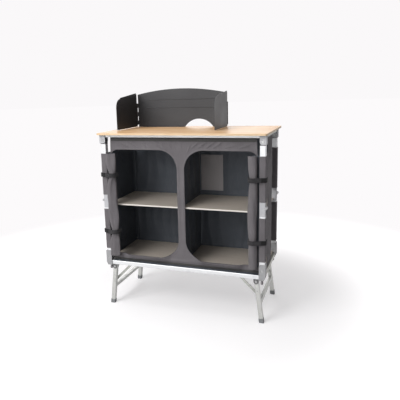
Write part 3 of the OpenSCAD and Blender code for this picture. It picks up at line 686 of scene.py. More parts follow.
def clothPanel(name, loops, place, bulge, materials, hem=True, step=None):
    # A flat outline filled with triangles, lifted by bulge and put in place, its hem thicker and stitched
    v = hemValues
    step = step or v["step"]
    loops = [refine(loop, v["edgeStep"]) for loop in loops]
    points, edges = [], []
    for loop in loops:
        first = len(points)
        points += loop
        edges += [(first + i, first + (i + 1) % len(loop)) for i in range(len(loop))]
    rim = np.array(points)
    if hem:
        for depth in (v["width"], v["width"] + v["foldStep"]):
            for loop in loops:
                points += offsetLoop(loop, depth)
    low, high = rim.min(axis=0), rim.max(axis=0)
    rows = int((high[1] - low[1]) / (step * v["rowShare"])) + 1
    columns = int((high[0] - low[0]) / step) + 1
    grid = np.array([(low[0] + (i + 0.5 * (j % 2)) * step, low[1] + j * step * v["rowShare"])
                     for j in range(rows + 1) for i in range(columns + 1)])
    grid = grid[insideLoops(grid, loops)]
    clear = v["width"] + v["foldStep"] + step * 0.5 if hem else step * 0.5
    grid = grid[nearestTo(grid, rim) > clear]
    points += [tuple(p) for p in grid]
    made = delaunay_2d_cdt([Vector(p) for p in points], edges, [], 0, v["weld"])
    flat = [tuple(p) for p in made[0]]
    middle = np.array([np.mean([flat[i] for i in face], axis=0) for face in made[2]])
    kept = insideLoops(middle, loops)
    faces = [tuple(face) for face, keep in zip(made[2], kept) if keep]
    thickness = np.full(len(flat), v["thickness"])
    if hem:
        half = (v["thickness"] + v["extra"]) / 2
        hemmed = nearestTo(np.array(flat), rim) <= v["width"] * v["slack"]
        thickness[hemmed] = v["thickness"] + v["extra"]
        for loop in loops:
            line = offsetLoop(loop, v["stitchIn"])
            stitchPaths.append([place(u, w, bulge(u, w) + half) for u, w in line + line[:1]])
    spots = [place(u, w, bulge(u, w)) for u, w in flat]
    return clothShell(name, spots, faces, flat, thickness, materials)


def crease(u, w, start, end, width, height):
    # A soft ridge along a line, highest at its middle
    along = Vector(end) - Vector(start)
    reach = Vector((u, w)) - Vector(start)
    t = reach.dot(along) / along.length_squared
    if t <= 0 or t >= 1:
        return 0.0
    off = abs(along.x * reach.y - along.y * reach.x) / along.length
    return height * math.sin(math.pi * t) * math.exp(-(off / width) ** 2)


def creaseSum(u, w, table):
    return sum(crease(u, w, c[0:2], c[2:4], c[4], c[5]) for c in table)


def ripple(u, w, height, size, seed):
    return height * noise.noise(Vector((u / size, w / size, seed)))


# Levels and places that several pieces share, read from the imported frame

clothClear = 0.0003  # cloth ends this much inside the outline that it replaces
tubeX, tubeY = spanOf("right_lower_tubes", "x"), spanOf("right_lower_tubes", "y")
clothZ = spanOf("cupboard_front", "z")
postHalf = rounded((tubeX[1] - tubeX[0]) / 2)
cabinet = {
    "low": rounded(clothZ[0] + clothClear),
    "high": rounded(clothZ[1] - clothClear),
    "shelfZ": centreOf("shelf_boards", "z"),
    "sideX": centreOf("right_lower_tubes", "x"),
    "frontY": rounded(tubeY[0] + postHalf),
    "rearY": rounded(tubeY[1] - postHalf),
    "postHalf": postHalf,
    "tabs": [spanOf("right_lower_sleeves", "z"), spanOf("right_upper_sleeves", "z")],
}


def foldsDown(piece):
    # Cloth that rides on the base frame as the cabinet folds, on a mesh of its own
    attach(piece, "base_frame")
    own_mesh(piece)


def roundedLoop(x0, z0, x1, z1, radii, step):
    loop = []
    corners = [(x0, z0, 180, 1, 1), (x1, z0, 270, -1, 1), (x1, z1, 0, -1, -1), (x0, z1, 90, 1, -1)]
    for (x, z, turn, sx, sz), r in zip(corners, radii):
        loop += arc((x + sx * r, z + sz * r), r, turn, turn + 90, step)
    return loop


# Front panel: two door openings either side of a stile

frontValues = {
    "y": centreOf("cupboard_front", "y"),
    "halfWidth": 0.3588,
    "footIn": 0.0026,  # narrower beside the base corner fittings
    "footLow": 0.0595,
    "footHigh": 0.0605,
    "stile": 0.0175,
    "openOuter": 0.3533,
    "openLow": 0.2625,
    "openHigh": 0.7705,
    "innerRadius": 0.088,
    "outerRadius": 0.012,
    "shoulderRadius": 0.045,
    "shoulder": (0.3475, 0.7560, 0.7400),  # x and z of the cut corner, and z where the cut starts
    "headerX": 0.3450,
    "step": 0.0036,  # fine enough for the creases
    "stripDepth": 0.141,
    # The lip under each opening leans forward between these distances from the middle
    "lean": 0.018,
    "leanFrom": (0.050, 0.110),
    "leanTo": (0.262, 0.300),
    "leanRise": 0.06,
    "stillTop": 0.03,
    "stillSide": 0.02,
    "ripples": [(0.0018, 0.055, 3.1), (0.0010, 0.02, 8.4)],  # height, size, seed
    # Diagonal pulls in the header, from the corners of the openings: x, z, x, z, width, height
    "creases": [
        (0.045, 0.775, 0.100, 0.818, 0.0036, 0.0042), (0.082, 0.778, 0.135, 0.820, 0.0034, 0.0040),
        (0.112, 0.776, 0.170, 0.816, 0.0036, 0.0044), (0.150, 0.779, 0.200, 0.814, 0.0040, 0.0034),
        (0.205, 0.784, 0.262, 0.800, 0.0046, 0.0026), (0.262, 0.780, 0.330, 0.806, 0.0046, 0.0030),
        (-0.300, 0.806, -0.240, 0.778, 0.0040, 0.0038), (-0.255, 0.812, -0.205, 0.780, 0.0036, 0.0036),
        (-0.195, 0.812, -0.150, 0.778, 0.0042, 0.0034), (-0.130, 0.814, -0.078, 0.774, 0.0040, 0.0040),
        (-0.098, 0.808, -0.055, 0.760, 0.0040, 0.0038), (-0.060, 0.812, -0.034, 0.770, 0.0034, 0.0030),
        (0.034, 0.760, 0.052, 0.806, 0.0034, 0.0030), (0.010, 0.770, 0.004, 0.818, 0.0030, 0.0026),
        (-0.009, 0.300, -0.011, 0.740, 0.0026, 0.0024), (0.008, 0.280, 0.010, 0.700, 0.0026, 0.0020),
        (-0.200, 0.246, 0.100, 0.250, 0.0060, 0.0030), (0.120, 0.252, 0.330, 0.244, 0.0060, 0.0032),
        (-0.330, 0.240, -0.120, 0.252, 0.0055, 0.0028),
    ],
}


def smooth(low, high, value):
    t = min(1.0, max(0.0, (value - low) / (high - low)))
    return t * t * (3 - 2 * t)


def frontBulge(u, w):
    # Creases, fine ripples, and the lip under each opening leaning forward
    v = frontValues
    opened = smooth(*v["leanFrom"], abs(u)) * (1 - smooth(*v["leanTo"], abs(u)))
    rise = smooth(cabinet["low"], v["openLow"], w)
    lean = v["lean"] * opened * rise * (1 - smooth(v["openLow"], v["openLow"] + v["leanRise"], w))
    lift = creaseSum(u, w, v["creases"])
    free = min(1.0, max(0.0, (cabinet["high"] - w) / v["stillTop"]))
    free *= min(1.0, max(0.0, (v["halfWidth"] - abs(u)) / v["stillSide"]))
    return lift + lean + free * sum(ripple(u, w, *wave) for wave in v["ripples"])


def makeFront():
    v = frontValues
    low, high = cabinet["low"], cabinet["high"]
    shoulderX, shoulderZ, shoulderLow = v["shoulder"]
    half, foot, head = v["halfWidth"], v["halfWidth"] - v["footIn"], v["headerX"]
    outer = [(-half, low + v["footHigh"]), (-foot, low + v["footLow"]), (-foot, low), (foot, low),
             (foot, low + v["footLow"]), (half, low + v["footHigh"]), (half, shoulderLow),
             (shoulderX, shoulderZ), (head, high), (-head, high), (-shoulderX, shoulderZ),
             (-half, shoulderLow)]
    radii = (v["innerRadius"], v["outerRadius"], v["shoulderRadius"], v["innerRadius"])
    right = roundedLoop(v["stile"], v["openLow"], v["openOuter"], v["openHigh"], radii, hemValues["edgeStep"])
    left = [(-x, z) for x, z in reversed(right)]
    holes = [list(reversed(right)), list(reversed(left))]
    panel = clothPanel("cupboardFront", [outer] + holes, lambda u, w, h: (u, v["y"] - h, w), frontBulge,
                       [outerCloth, liningCloth], step=v["step"])
    foldsDown(panel)
    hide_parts("cupboard_front")


makeFront()
print("front panel made")

# Side walls, back, divider, floor and shelf slings

wallValues = {
    "front": -0.16395,
    "rear": 0.12695,
    "notch": 0.088,  # how far the edges are cut back beside the metal
    "notchRadius": 0.026,
    "step": 0.006,
    "inward": 0.0120,  # how far the right wall runs in at its rear edge
    "bellyHalf": 0.15,
    "belly": 0.0030,
    "wave": (0.0016, 0.06, 5.5),  # height, size, seed
    "fine": (0.0008, 0.022, 1.7),
    "mirrorShift": 0.013,  # the left wall's creases lie this much higher
    # Pulls towards the tabs on the posts: y, z, y, z, width, height
    "creases": [
        (-0.070, 0.700, 0.030, 0.800, 0.012, 0.0030), (0.030, 0.690, -0.060, 0.810, 0.012, 0.0022),
        (-0.060, 0.560, 0.020, 0.480, 0.012, 0.0030), (-0.080, 0.470, -0.030, 0.580, 0.010, 0.0028),
        (-0.070, 0.330, 0.010, 0.250, 0.012, 0.0030), (0.040, 0.340, -0.020, 0.250, 0.012, 0.0022),
    ],
}


def wallEdge(tabs):
    # The rear edge from the bottom up: tabs that reach the post, round notches beside its pivots
    v = wallValues
    step = hemValues["edgeStep"]
    inner, outer, r = v["rear"] - v["notch"], v["rear"], v["notchRadius"]
    side = []
    for low, high in tabs:
        if low > cabinet["low"]:
            side += arc((inner + r, low - r), r, 180, 90, step)
        side += [(outer, low), (outer, high)]
        side += arc((inner + r, high + r), r, 270, 180, step)
    if tabs[0][0] > cabinet["low"]:
        side.insert(0, (inner, cabinet["low"]))
    return side + [(inner, cabinet["high"])]


def wallOutline(closedBehind):
    v = wallValues
    tabs = cabinet["tabs"]
    middle = (v["front"] + v["rear"]) / 2
    rear = wallEdge([(cabinet["low"], tabs[1][1])] if closedBehind else tabs)
    return rear + [(2 * middle - y, z) for y, z in reversed(wallEdge(tabs))]


def wallBulge(u, w):
    # The board ends lie just inside, so the wall only moves outwards
    v = wallValues
    middle = (v["front"] + v["rear"]) / 2
    across = max(0.0, 1 - (abs(u - middle) / v["bellyHalf"]) ** 2)
    pulls = creaseSum(u, w, v["creases"])
    return across * (v["belly"] + ripple(u, w, *v["wave"])) + pulls + abs(ripple(u, w, *v["fine"]))


def rightBulge(u, w):
    # Towards its rear edge the right wall runs in to the inner corner of the post
    v = wallValues
    return wallBulge(u, w) - v["inward"] * smooth(v["rear"] - v["notch"], v["rear"], u)


def leftBulge(u, w):
    return wallBulge(-u, w + wallValues["mirrorShift"])


def makeWalls():
    # The left wall is closed beside the lower pivots of its rear post, as its inside shows
    v = wallValues
    for s, name, bulge in ((1, "right", rightBulge), (-1, "left", leftBulge)):
        loop = wallOutline(s < 0)
        outline = loop if s > 0 else [(-y, z) for y, z in reversed(loop)]
        wall = clothPanel(name + "Wall", [outline], lambda u, w, h: (s * (cabinet["sideX"] + h), s * u, w),
                          bulge, [outerCloth, liningCloth], step=v["step"])
        foldsDown(wall)
        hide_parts("cupboard_" + name + "_wall")


backValues = {
    "y": centreOf("cupboard_back", "y"),
    "halfWidth": 0.3586,
    "elbowCut": 0.014,
    "elbowZ": (0.4800, 0.4900, 0.5520, 0.5620),  # where the cut starts, is full, ends, is gone
    "boardZ": (cabinet["shelfZ"], 0.237),  # lies still against the boards
    "boardNear": 0.03,
    "clear": 0.0014,
    "fold": 0.0055,
    "foldTurn": 62,  # folds about 50 mm apart
    "drift": (2.2, 0.25, 2.0),  # height, size, seed
    "patches": (1.0, 0.16, 6.0),
    "patchShare": 0.45,
    "belly": 0.0022,
    "wave": (1.0, 0.07, 9.0),
}


def backBulge(u, w):
    v = backValues
    x = -u
    folds = v["fold"] * math.sin(x * v["foldTurn"] + ripple(x, w, *v["drift"]))
    folds *= max(0.0, ripple(x, w, *v["patches"]) + v["patchShare"])
    boards = math.prod(min(1.0, abs(w - z) / v["boardNear"]) for z in v["boardZ"])
    return v["clear"] + abs(folds) + v["belly"] * boards * (0.5 + ripple(x, w, *v["wave"]))


def makeBack():
    v = backValues
    low, high = cabinet["low"], cabinet["high"]
    half, head = v["halfWidth"], frontValues["headerX"]
    shoulderX, shoulderZ, shoulderLow = frontValues["shoulder"]
    # Cut in at the top corners, and beside the elbow of the right rear post
    cut = half - v["elbowCut"]
    z0, z1, z2, z3 = v["elbowZ"]
    loop = [(-half, low), (half, low), (half, shoulderLow), (shoulderX, shoulderZ), (head, high),
            (-head, high), (-shoulderX, shoulderZ), (-half, shoulderLow), (-half, z3), (-cut, z2),
            (-cut, z1), (-half, z0)]
    back = clothPanel("cupboardBack", [loop], lambda u, w, h: (-u, v["y"] + h, w), backBulge,
                      [outerCloth, liningCloth])
    foldsDown(back)
    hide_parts("cupboard_back")


cornerValues = {
    "path": [(-0.3727, 0.1256), (-0.3660, 0.1255), (-0.3597, 0.1257), (-0.3582, 0.1268),
             (-0.3575, 0.1290), (-0.3572, 0.1316)],
    "low": 0.2290,
    "high": 0.7990,
    "thickness": 0.0008,
    "step": 0.002,
    "columns": 70,
}


def makeCorner():
    # Lining that closes the left rear corner in front of the post
    v = cornerValues
    path = refine(v["path"], v["step"], closed=False)
    points, flat, faces, wide = ribbon(path, v["low"], v["high"], 1, v["columns"])
    corner = clothShell("leftCornerLining", points, faces, flat, v["thickness"], [liningCloth, liningCloth])
    foldsDown(corner)


pocketValues = {
    "x": (0.0050, 0.1190),
    "z": (0.5290, 0.7120),
    "ahead": 0.0017,
    "sag": 0.0040,
    "sagDepth": 0.09,
    "gather": 0.0006,
    "gatherTurn": 420,  # gathers about 15 mm apart
}


def pocketBulge(u, w):
    # Follows the back wall, and sags open a little along its top
    v = pocketValues
    (x0, x1), top = v["x"], v["z"][1]
    sag = max(0.0, 1 - (top - w) / v["sagDepth"]) * math.sin(math.pi * (u - x0) / (x1 - x0))
    gathers = v["gather"] * math.sin(u * v["gatherTurn"])
    return v["ahead"] - backBulge(-u, w) + v["sag"] * max(0.0, sag) + gathers


def makePocket():
    (x0, x1), (z0, z1) = pocketValues["x"], pocketValues["z"]
    pocket = clothPanel("backPocket", [[(x0, z0), (x1, z0), (x1, z1), (x0, z1)]],
                        lambda u, w, h: (u, backValues["y"] - h, w), pocketBulge, [pocketCloth, pocketCloth])
    foldsDown(pocket)


dividerValues = {
    "front": -0.1685,
    "rear": 0.1313,
    "floorZ": 0.242,
    "boardNear": 0.04,
    "fold": 0.0030,
    "foldTurn": 70,  # folds about 90 mm apart
    "drift": (2.0, 0.2, 4.0),
    "wave": (0.002, 0.05, 7.0),
}


def dividerBulge(u, w):
    # Folds that die away beside the shelf boards and the floor
    v = dividerValues
    boards = min(1.0, abs(w - cabinet["shelfZ"]) / v["boardNear"])
    boards *= min(1.0, max(0.0, w - v["floorZ"]) / v["boardNear"])
    folds = v["fold"] * math.sin(u * v["foldTurn"] + ripple(u, w, *v["drift"]))
    return boards * (folds + ripple(u, w, *v["wave"]))


def makeDivider():
    v = dividerValues
    low, high = cabinet["low"], cabinet["high"]
    loop = [(v["front"], low), (v["rear"], low), (v["rear"], high), (v["front"], high)]
    divider = clothPanel("cupboardDivider", [loop], lambda u, w, h: (h, u, w), dividerBulge,
                         [liningCloth, liningCloth], hem=False)
    foldsDown(divider)
    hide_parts("cupboard_divider")


flatStep = 0.02  # cloth that lies flat needs only a coarse grid


def noBulge(u, w):
    return 0.0


floorCloth = {"front": -0.189, "rear": 0.152, "cutX": 0.355, "cutFront": -0.160, "cutRear": 0.123,
              "z": centreOf("cupboard_floor", "z")}


def makeFloorCloth():
    v = floorCloth
    half, cut = cabinet["sideX"], v["cutX"]
    quarter = [(cut, v["front"]), (cut, v["cutFront"]), (half, v["cutFront"]), (half, v["cutRear"]),
               (cut, v["cutRear"]), (cut, v["rear"])]
    loop = quarter + [(-x, y) for x, y in reversed(quarter)]
    piece = clothPanel("cupboardFloor", [loop], lambda u, w, h: (u, w, v["z"] + h), noBulge,
                       [liningCloth, outerCloth], hem=False, step=flatStep)
    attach(piece, "base_frame")
    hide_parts("cupboard_floor")


slingValues = {"inner": 0.0012, "outer": 0.3722, "front": -0.1597, "rear": 0.1240,
               "z": centreOf("shelf_sling", "z")}


def makeSlings():
    v = slingValues
    for s, name in ((1, "right"), (-1, "left")):
        x0, x1 = (v["inner"], v["outer"]) if s > 0 else (-v["outer"], -v["inner"])
        loop = [(x0, v["front"]), (x1, v["front"]), (x1, v["rear"]), (x0, v["rear"])]
        sling = clothPanel(name + "ShelfSling", [loop], lambda u, w, h: (u, w, v["z"] + h), noBulge,
                           [outerCloth, outerCloth], hem=False, step=flatStep)
        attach(sling, "shelf")
        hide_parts("shelf_sling")


makeWalls()
makeBack()
makeCorner()
makePocket()
makeDivider()
makeFloorCloth()
makeSlings()
print("walls, back, divider, floor and slings made")

# Sleeves on the posts: each is a strip sewn into a square tube, its seam towards the side wall

sleeveValues = {
    "half": 0.01355,
    "corner": 0.0034,
    "cornerStep": 0.0016,
    "step": 0.0045,
    "thickness": 0.0011,
    "rowStep": 0.008,
    "hem": 0.009,
    "hemExtra": 0.0006,
    "hemEdge": 0.0005,
    "topEdge": 0.0008,
    "length": rounded(cabinet["tabs"][0][1] - cabinet["tabs"][0][0]),
    "still": 0.02,
    "seedStep": 11.3,
    "wave": (0.0009, 0.03),  # height, size
    "fine": (0.0006, 0.014),
}


def squarePath(half, corner, towards):
    # Once round a rounded square, starting and ending on the side that faces the wall
    v = sleeveValues
    points = [(0.0, half * towards)]
    order = ((1, 1), (1, -1), (-1, -1), (-1, 1))
    for (sx, sy), start in zip(order, (90, 0, -90, -180)):
        centre = (sx * (half - corner), sy * towards * (half - corner))
        turn = arc((0, 0), corner, start, start - 90, v["cornerStep"])
        points += [(centre[0] + x, centre[1] + y * towards) for x, y in turn]
    points.append((0.0, half * towards))
    return refine(points, v["step"], closed=False)


def sleeveRows():
    # Heights of the rows of points, close together where the hem steps down to the cloth
    v = sleeveValues
    rows = [0.0, v["hem"] - v["hemEdge"], v["hem"] + v["hemEdge"]]
    inner = v["length"] - 2 * v["hem"] - 2 * v["hemEdge"]
    count = int(inner / v["rowStep"])
    rows += [rows[-1] + inner * (i + 1) / count for i in range(count)]
    return rows + [v["length"] - v["hem"] + v["topEdge"], v["length"]]


def makeSleeve(name, body, node, centre, z0, towards, seed):
    v = sleeveValues
    path = squarePath(v["half"], v["corner"], towards)
    if towards > 0:
        path.reverse()
    lengths = lengthsAlong(path)
    rows = sleeveRows()
    points, flat, thick = [], [], []
    for row in rows:
        hemmed = row < v["hem"] or row > v["length"] - v["hem"]
        ends = min(1.0, row / v["still"], (v["length"] - row) / v["still"])
        for (x, y), along in zip(path, lengths):
            out = Vector((x, y)).normalized()
            wave = max(0.0, ripple(along + x, row, *v["wave"], seed))
            lift = (wave + abs(ripple(x * 2, row, *v["fine"], seed))) * ends
            points.append((centre[0] + x + out.x * lift, centre[1] + y + out.y * lift, z0 + row))
            flat.append((along, row))
            thick.append(v["thickness"] + (v["hemExtra"] if hemmed else 0.0))
    faces = gridFaces(len(rows) - 1, len(path), False)
    sleeve = clothShell(name, points, faces, flat, thick, [outerCloth, liningCloth])
    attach(sleeve, body)
    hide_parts(node)


def makeSleeves():
    seed = 0.0
    for s, side in ((1, "right"), (-1, "left")):
        for level, tab in zip(("lower", "upper"), cabinet["tabs"]):
            for row, y, towards in (("Front", cabinet["frontY"], 1), ("Rear", cabinet["rearY"], -1)):
                seed += sleeveValues["seedStep"]
                name = side + level.capitalize() + row + "Sleeve"
                makeSleeve(name, side + "_" + level + "_posts", side + "_" + level + "_sleeves",
                           (s * cabinet["sideX"], y), tab[0], towards, seed)


makeSleeves()
print("post sleeves made")

# Rolled up doors: one sheet wound into a spiral, its last turn running back to the edge of the opening

rollLow, rollHigh = spanOf("right_door_roll", "z")
rollValues = {
    "centreX": 0.334,
    "centreY": centreOf("right_door_roll", "y"),
    "low": rollLow,
    "length": rounded(rollHigh - rollLow),
    "outer": 0.0202,
    "inner": 0.0052,
    "pitch": 0.0037,
    "thickness": 0.0010,
    "flapX": 0.3560,
    "flapReach": 0.004,
    "flapLift": 0.0003,
    "flapCount": 4,
    "outerGap": 0.0002,
    "settleTurn": 4,  # the wrinkles come in over a quarter of the first turn
    "rows": 110,
    "turnSteps": 44,
    "strapZ": (0.378, 0.653),
    "pinchReach": 0.030,
    "pinch": 0.075,
    "swell": 0.22,
    "innerSwell": 0.25,
    "flatten": 0.03,
    "skew": 0.002,
    "skewTurn": 9,
    "slack": 0.985,  # the cloth is this share of the wrinkled spiral's longest row
    # Wrinkles, as shares of the radius
    "wrinkle": {1: 0.095, -1: 0.150},  # right and left roll
    "wave": (1.3, 11, 7.7),  # round the roll, along it, and what parts the two rolls
    "fine": (3.2, 34, 3.1),
    "drift": (2.4, 6, 4.1, 0.5),
    "pleatTurn": 1.5,
    "pleatTwist": 14,
    "pleatShape": 0.6,
    "pleatShare": 0.9,
    "waveShare": 0.6,
    "topEnd": (0.02, 0.05),
    "lowEnd": (0.03, 0.04),
    # Between its straps the left roll hangs over the front of the post
    "lean": 0.0135,
    "leanFrom": -0.1938,
    "leanTo": -0.2040,
}


def pinchAt(z):
    # 1 under a strap, falling to 0 between them and towards the ends
    v = rollValues
    return min(1.0, sum(math.exp(-((z - s) / v["pinchReach"]) ** 2) for s in v["strapZ"]))


def roundNoise(side, angle, z, values):
    around, along, apart = values
    return noise.noise(Vector((math.cos(angle) * around, math.sin(angle) * around, z * along + side * apart)))


def rollShape(side, angle, z, depth):
    # How far the roll is drawn in or let out at a height, as a share of its radius
    v = rollValues
    pinch = pinchAt(z)
    (topShare, topReach), (lowShare, lowReach) = v["topEnd"], v["lowEnd"]
    top = math.exp(-((v["low"] + v["length"] - z) / topReach) ** 2)
    low = math.exp(-((z - v["low"]) / lowReach) ** 2)
    wave = roundNoise(side, angle, z, v["wave"])
    fine = roundNoise(side, angle, z, v["fine"])
    strength, share = v["wrinkle"][side], v["waveShare"]
    far, along, apart, seed = v["drift"]
    drift = far * noise.noise(Vector((z * along, side * apart, seed)))
    turn = v["pleatTurn"] * angle + side * v["pleatTwist"] * z + drift
    pleat = abs(math.sin(turn)) ** v["pleatShape"]
    wrinkles = strength * (share + wave) + share * strength * abs(fine)
    wrinkles += v["pleatShare"] * strength * (1 - pleat) * (1 - pinch)
    return 1 - v["pinch"] * pinch - wrinkles - lowShare * low * depth - topShare * top


def rollSpot(side, i, steps, z, skew):
    # One point of the roll's section, seen from above: the flap first, then the spiral inwards
    v = rollValues
    if i < v["flapCount"]:
        share = i / v["flapCount"]
        x = v["flapX"] + (v["centreX"] + v["flapReach"] - v["flapX"]) * share
        return x, v["centreY"] + v["outer"] + v["flapLift"] * share
    turns = (v["outer"] - v["inner"]) / v["pitch"]
    turn = (i - v["flapCount"]) / steps
    angle = math.pi / 2 + turn * turns * 2 * math.pi
    radius = v["outer"] + v["outerGap"] - (v["outer"] - v["inner"]) * turn
    settle = min(1.0, turn * turns * v["settleTurn"])
    size = 1 + (rollShape(side, angle, z, 1 - turn) - 1) * settle
    swell = v["swell"] if math.cos(angle) < 0 else v["swell"] * v["innerSwell"]
    spread = 1 + swell * (1 - pinchAt(z)) * settle
    x = v["centreX"] + radius * size * spread * math.cos(angle) + skew * settle
    y = v["centreY"] + radius * size * math.sin(angle) * (1.0 - v["flatten"] * settle)
    if side < 0:
        x += v["lean"] * (1 - pinchAt(z)) * (1 - smooth(v["leanTo"], v["leanFrom"], y))
    return x, y


def makeRoll(side, name):
    v = rollValues
    steps = int((v["outer"] - v["inner"]) / v["pitch"] * v["turnSteps"])
    wide = v["flapCount"] + steps + 1
    points, flat = [], []
    for j in range(v["rows"] + 1):
        t = j / v["rows"]
        z = v["low"] + v["length"] * t
        skew = v["skew"] * math.sin(t * v["skewTurn"] + side) * side
        section = [rollSpot(side, i, steps, z, skew) for i in range(wide)]
        points += [(side * x, y, z) for x, y in section]
        flat += [(along, z) for along in lengthsAlong(section)]
    faces = gridFaces(v["rows"], wide, side < 0)
    roll = clothShell(name + "DoorRoll", points, faces, flat, v["thickness"], [outerCloth, liningCloth])
    foldsDown(roll)
    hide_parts(name + "_door_roll")


makeRoll(1, "right")
makeRoll(-1, "left")
print("door rolls made")

# Webbing straps round the rolls and the front posts

strapValues = {
    "width": 0.020,
    "thickness": 0.0014,
    "gap": 0.0008,
    "rollRadius": 0.0212,
    "rollEnd": 284,  # degrees round the roll, where the strap leaves it
    "arcStep": 0.003,
    "startY": 0.018,
    "sleeveOut": 0.01455,
    "corner": 0.003,
    "cornerStep": 0.0012,
    "backReach": 0.010,
    "step": 0.004,
    "tapeFrom": 0.004,
    "tapeIn": 0.0005,
    "tapeGap": 0.0002,
}


def strapPath(extra):
    v, r = strapValues, rollValues
    postX, postY, corner = cabinet["sideX"], cabinet["frontY"], v["corner"]
    radius = v["rollRadius"] + v["gap"] + extra
    out = v["sleeveOut"] + v["gap"] + extra
    path = [(r["centreX"] - radius, r["centreY"] + v["startY"])]
    path += arc((r["centreX"], r["centreY"]), radius, 180, v["rollEnd"], v["arcStep"])
    path += arc((postX + out - corner, postY - out + corner), corner, v["rollEnd"] - 360, 0, v["cornerStep"])
    path.append((postX + out, postY + v["backReach"]))
    return refine(path, v["step"], closed=False)


def makeStraps():
    v = strapValues
    middle, half = v["thickness"] / 2, v["width"] / 2
    for side, name in ((1, "right"), (-1, "left")):
        for level, z in zip(("Lower", "Upper"), rollValues["strapZ"]):
            points, flat, faces, length = ribbon(strapPath(middle), z - half, z + half, side)
            strap = clothShell(name + level + "Strap", points, faces, flat, v["thickness"],
                               [webbing, webbing])
            foldsDown(strap)
            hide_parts("door_straps")
            tail = strapPath(middle + v["thickness"] + v["tapeGap"])
            start = next(i for i, p in enumerate(tail) if p[0] > cabinet["sideX"] - v["tapeFrom"])
            low, high = z - half + v["tapeIn"], z + half - v["tapeIn"]
            points, flat, faces = ribbon(tail[start:], low, high, side)[:3]
            tape = clothShell(name + level + "StrapTape", points, faces, flat, v["thickness"],
                              [hookTape, hookTape])
            foldsDown(tape)


makeStraps()
print("straps made")

# Sewn trim: a dark strip under the top rail, which is painted shade of the rail and tabletop, and the bound
# bottom edge

trimValues = {
    "shadeStripLow": 0.8105,
    "shadeStripIn": 0.001,
    "hemHigh": 0.2386,
    "hemIn": 0.004,
    "hemUp": 0.0004,
    "ahead": 0.0006,
    "thickness": 0.0009,
    "columns": 120,
}


def flatBand(name, reach, high, low):
    # A tape sewn flat on the front panel, from one end to the other
    v = trimValues
    ahead = hemValues["thickness"] / 2 + v["ahead"]
    points, flat = [], []
    for i in reversed(range(v["columns"] + 1)):
        x = -reach + 2 * reach * i / v["columns"]
        points += [(x, frontValues["y"] - frontBulge(x, z) - ahead, z) for z in (high, low)]
        flat += [(reach - x, 0.0), (reach - x, high - low)]
    faces = [(2 * i, 2 * i + 1, 2 * i + 3, 2 * i + 2) for i in range(v["columns"])]
    return clothShell(name, points, faces, flat, v["thickness"], [trimAndShadeTape, trimAndShadeTape])


def makeTrim():
    v = trimValues
    low, high = cabinet["low"], cabinet["high"]
    reach = frontValues["headerX"] - v["shadeStripIn"]
    # The dark strip under the top rail is painted shade: it stands for the shadow that the rail and the
    # tabletop cast on the cloth
    strip = flatBand("topRailShadeStrip", reach, high, v["shadeStripLow"])
    foldsDown(strip)
    reach = frontValues["halfWidth"] - v["hemIn"]
    hem = flatBand("bottomHem", reach, v["hemHigh"], low + v["hemUp"])
    foldsDown(hem)


makeTrim()
print("trim made")

# Rows of stitches, zip coils and rivets: one small shape repeated by geometry nodes


def pathMesh(name, paths):
    points, edges = [], []
    for path in paths:
        first = len(points)
        points += [tuple(p) for p in path]
        edges += [(first + i, first + i + 1) for i in range(len(path) - 1)]
    mesh = bpy.data.meshes.new(name)
    mesh.from_pydata(points, edges, [])
    return addObject(name, mesh)


def newTree(name, sizes):
    # A geometry tree with named sizes and a material as its inputs
    tree = bpy.data.node_groups.new(name, "GeometryNodeTree")
    face = tree.interface
    face.new_socket("Geometry", in_out="INPUT", socket_type="NodeSocketGeometry")
    for size in sizes:
        face.new_socket(size, in_out="INPUT", socket_type="NodeSocketFloat")
    face.new_socket("Material", in_out="INPUT", socket_type="NodeSocketMaterial")
    face.new_socket("Geometry", in_out="OUTPUT", socket_type="NodeSocketGeometry")
    return tree, addNode(tree, "NodeGroupInput").outputs


def repeatShape(tree, given, points, way, shape, size):
    # The shape on every point, turned along a direction, made real and given its material
    turned = addNode(tree, "FunctionNodeAlignRotationToVector", {"Vector": way}, axis="Z")
    placed = addNode(tree, "GeometryNodeInstanceOnPoints", {"Points": points, "Instance": shape,
                                                            "Rotation": turned, "Scale": size})
    real = addNode(tree, "GeometryNodeRealizeInstances", {0: placed})
    painted = addNode(tree, "GeometryNodeSetMaterial", {"Geometry": real, "Material": given["Material"]})
    addNode(tree, "NodeGroupOutput", {0: painted})
    return tree


def beadTree():
    tree, given = newTree("beads along a path", ("Pitch", "Bead Length", "Bead Width", "Bead Height"))
    curve = addNode(tree, "GeometryNodeMeshToCurve", {0: given["Geometry"]})
    spaced = addNode(tree, "GeometryNodeCurveToPoints", {"Curve": curve, "Length": given["Pitch"]},
                     mode="LENGTH").outputs
    size = addNode(tree, "ShaderNodeCombineXYZ", {0: given["Bead Width"], 1: given["Bead Height"],
                                                  2: given["Bead Length"]})
    bead = addNode(tree, "GeometryNodeMeshIcoSphere", {"Radius": 0.5, "Subdivisions": 1})
    return repeatShape(tree, given, spaced["Points"], spaced["Tangent"], bead.outputs["Mesh"], size)


def rivetTree():
    # Each point has an attribute that says which way its rivet faces
    tree, given = newTree("domed rivets on points", ("Radius", "Height"))
    ball = addNode(tree, "GeometryNodeMeshUVSphere", {"Segments": 14, "Rings": 8, "Radius": 1.0})
    size = addNode(tree, "ShaderNodeCombineXYZ", {0: given["Radius"], 1: given["Radius"], 2: given["Height"]})
    way = addNode(tree, "GeometryNodeInputNamedAttribute", {"Name": "facing"}, data_type="FLOAT_VECTOR")
    return repeatShape(tree, given, given["Geometry"], way, ball.outputs["Mesh"], size)


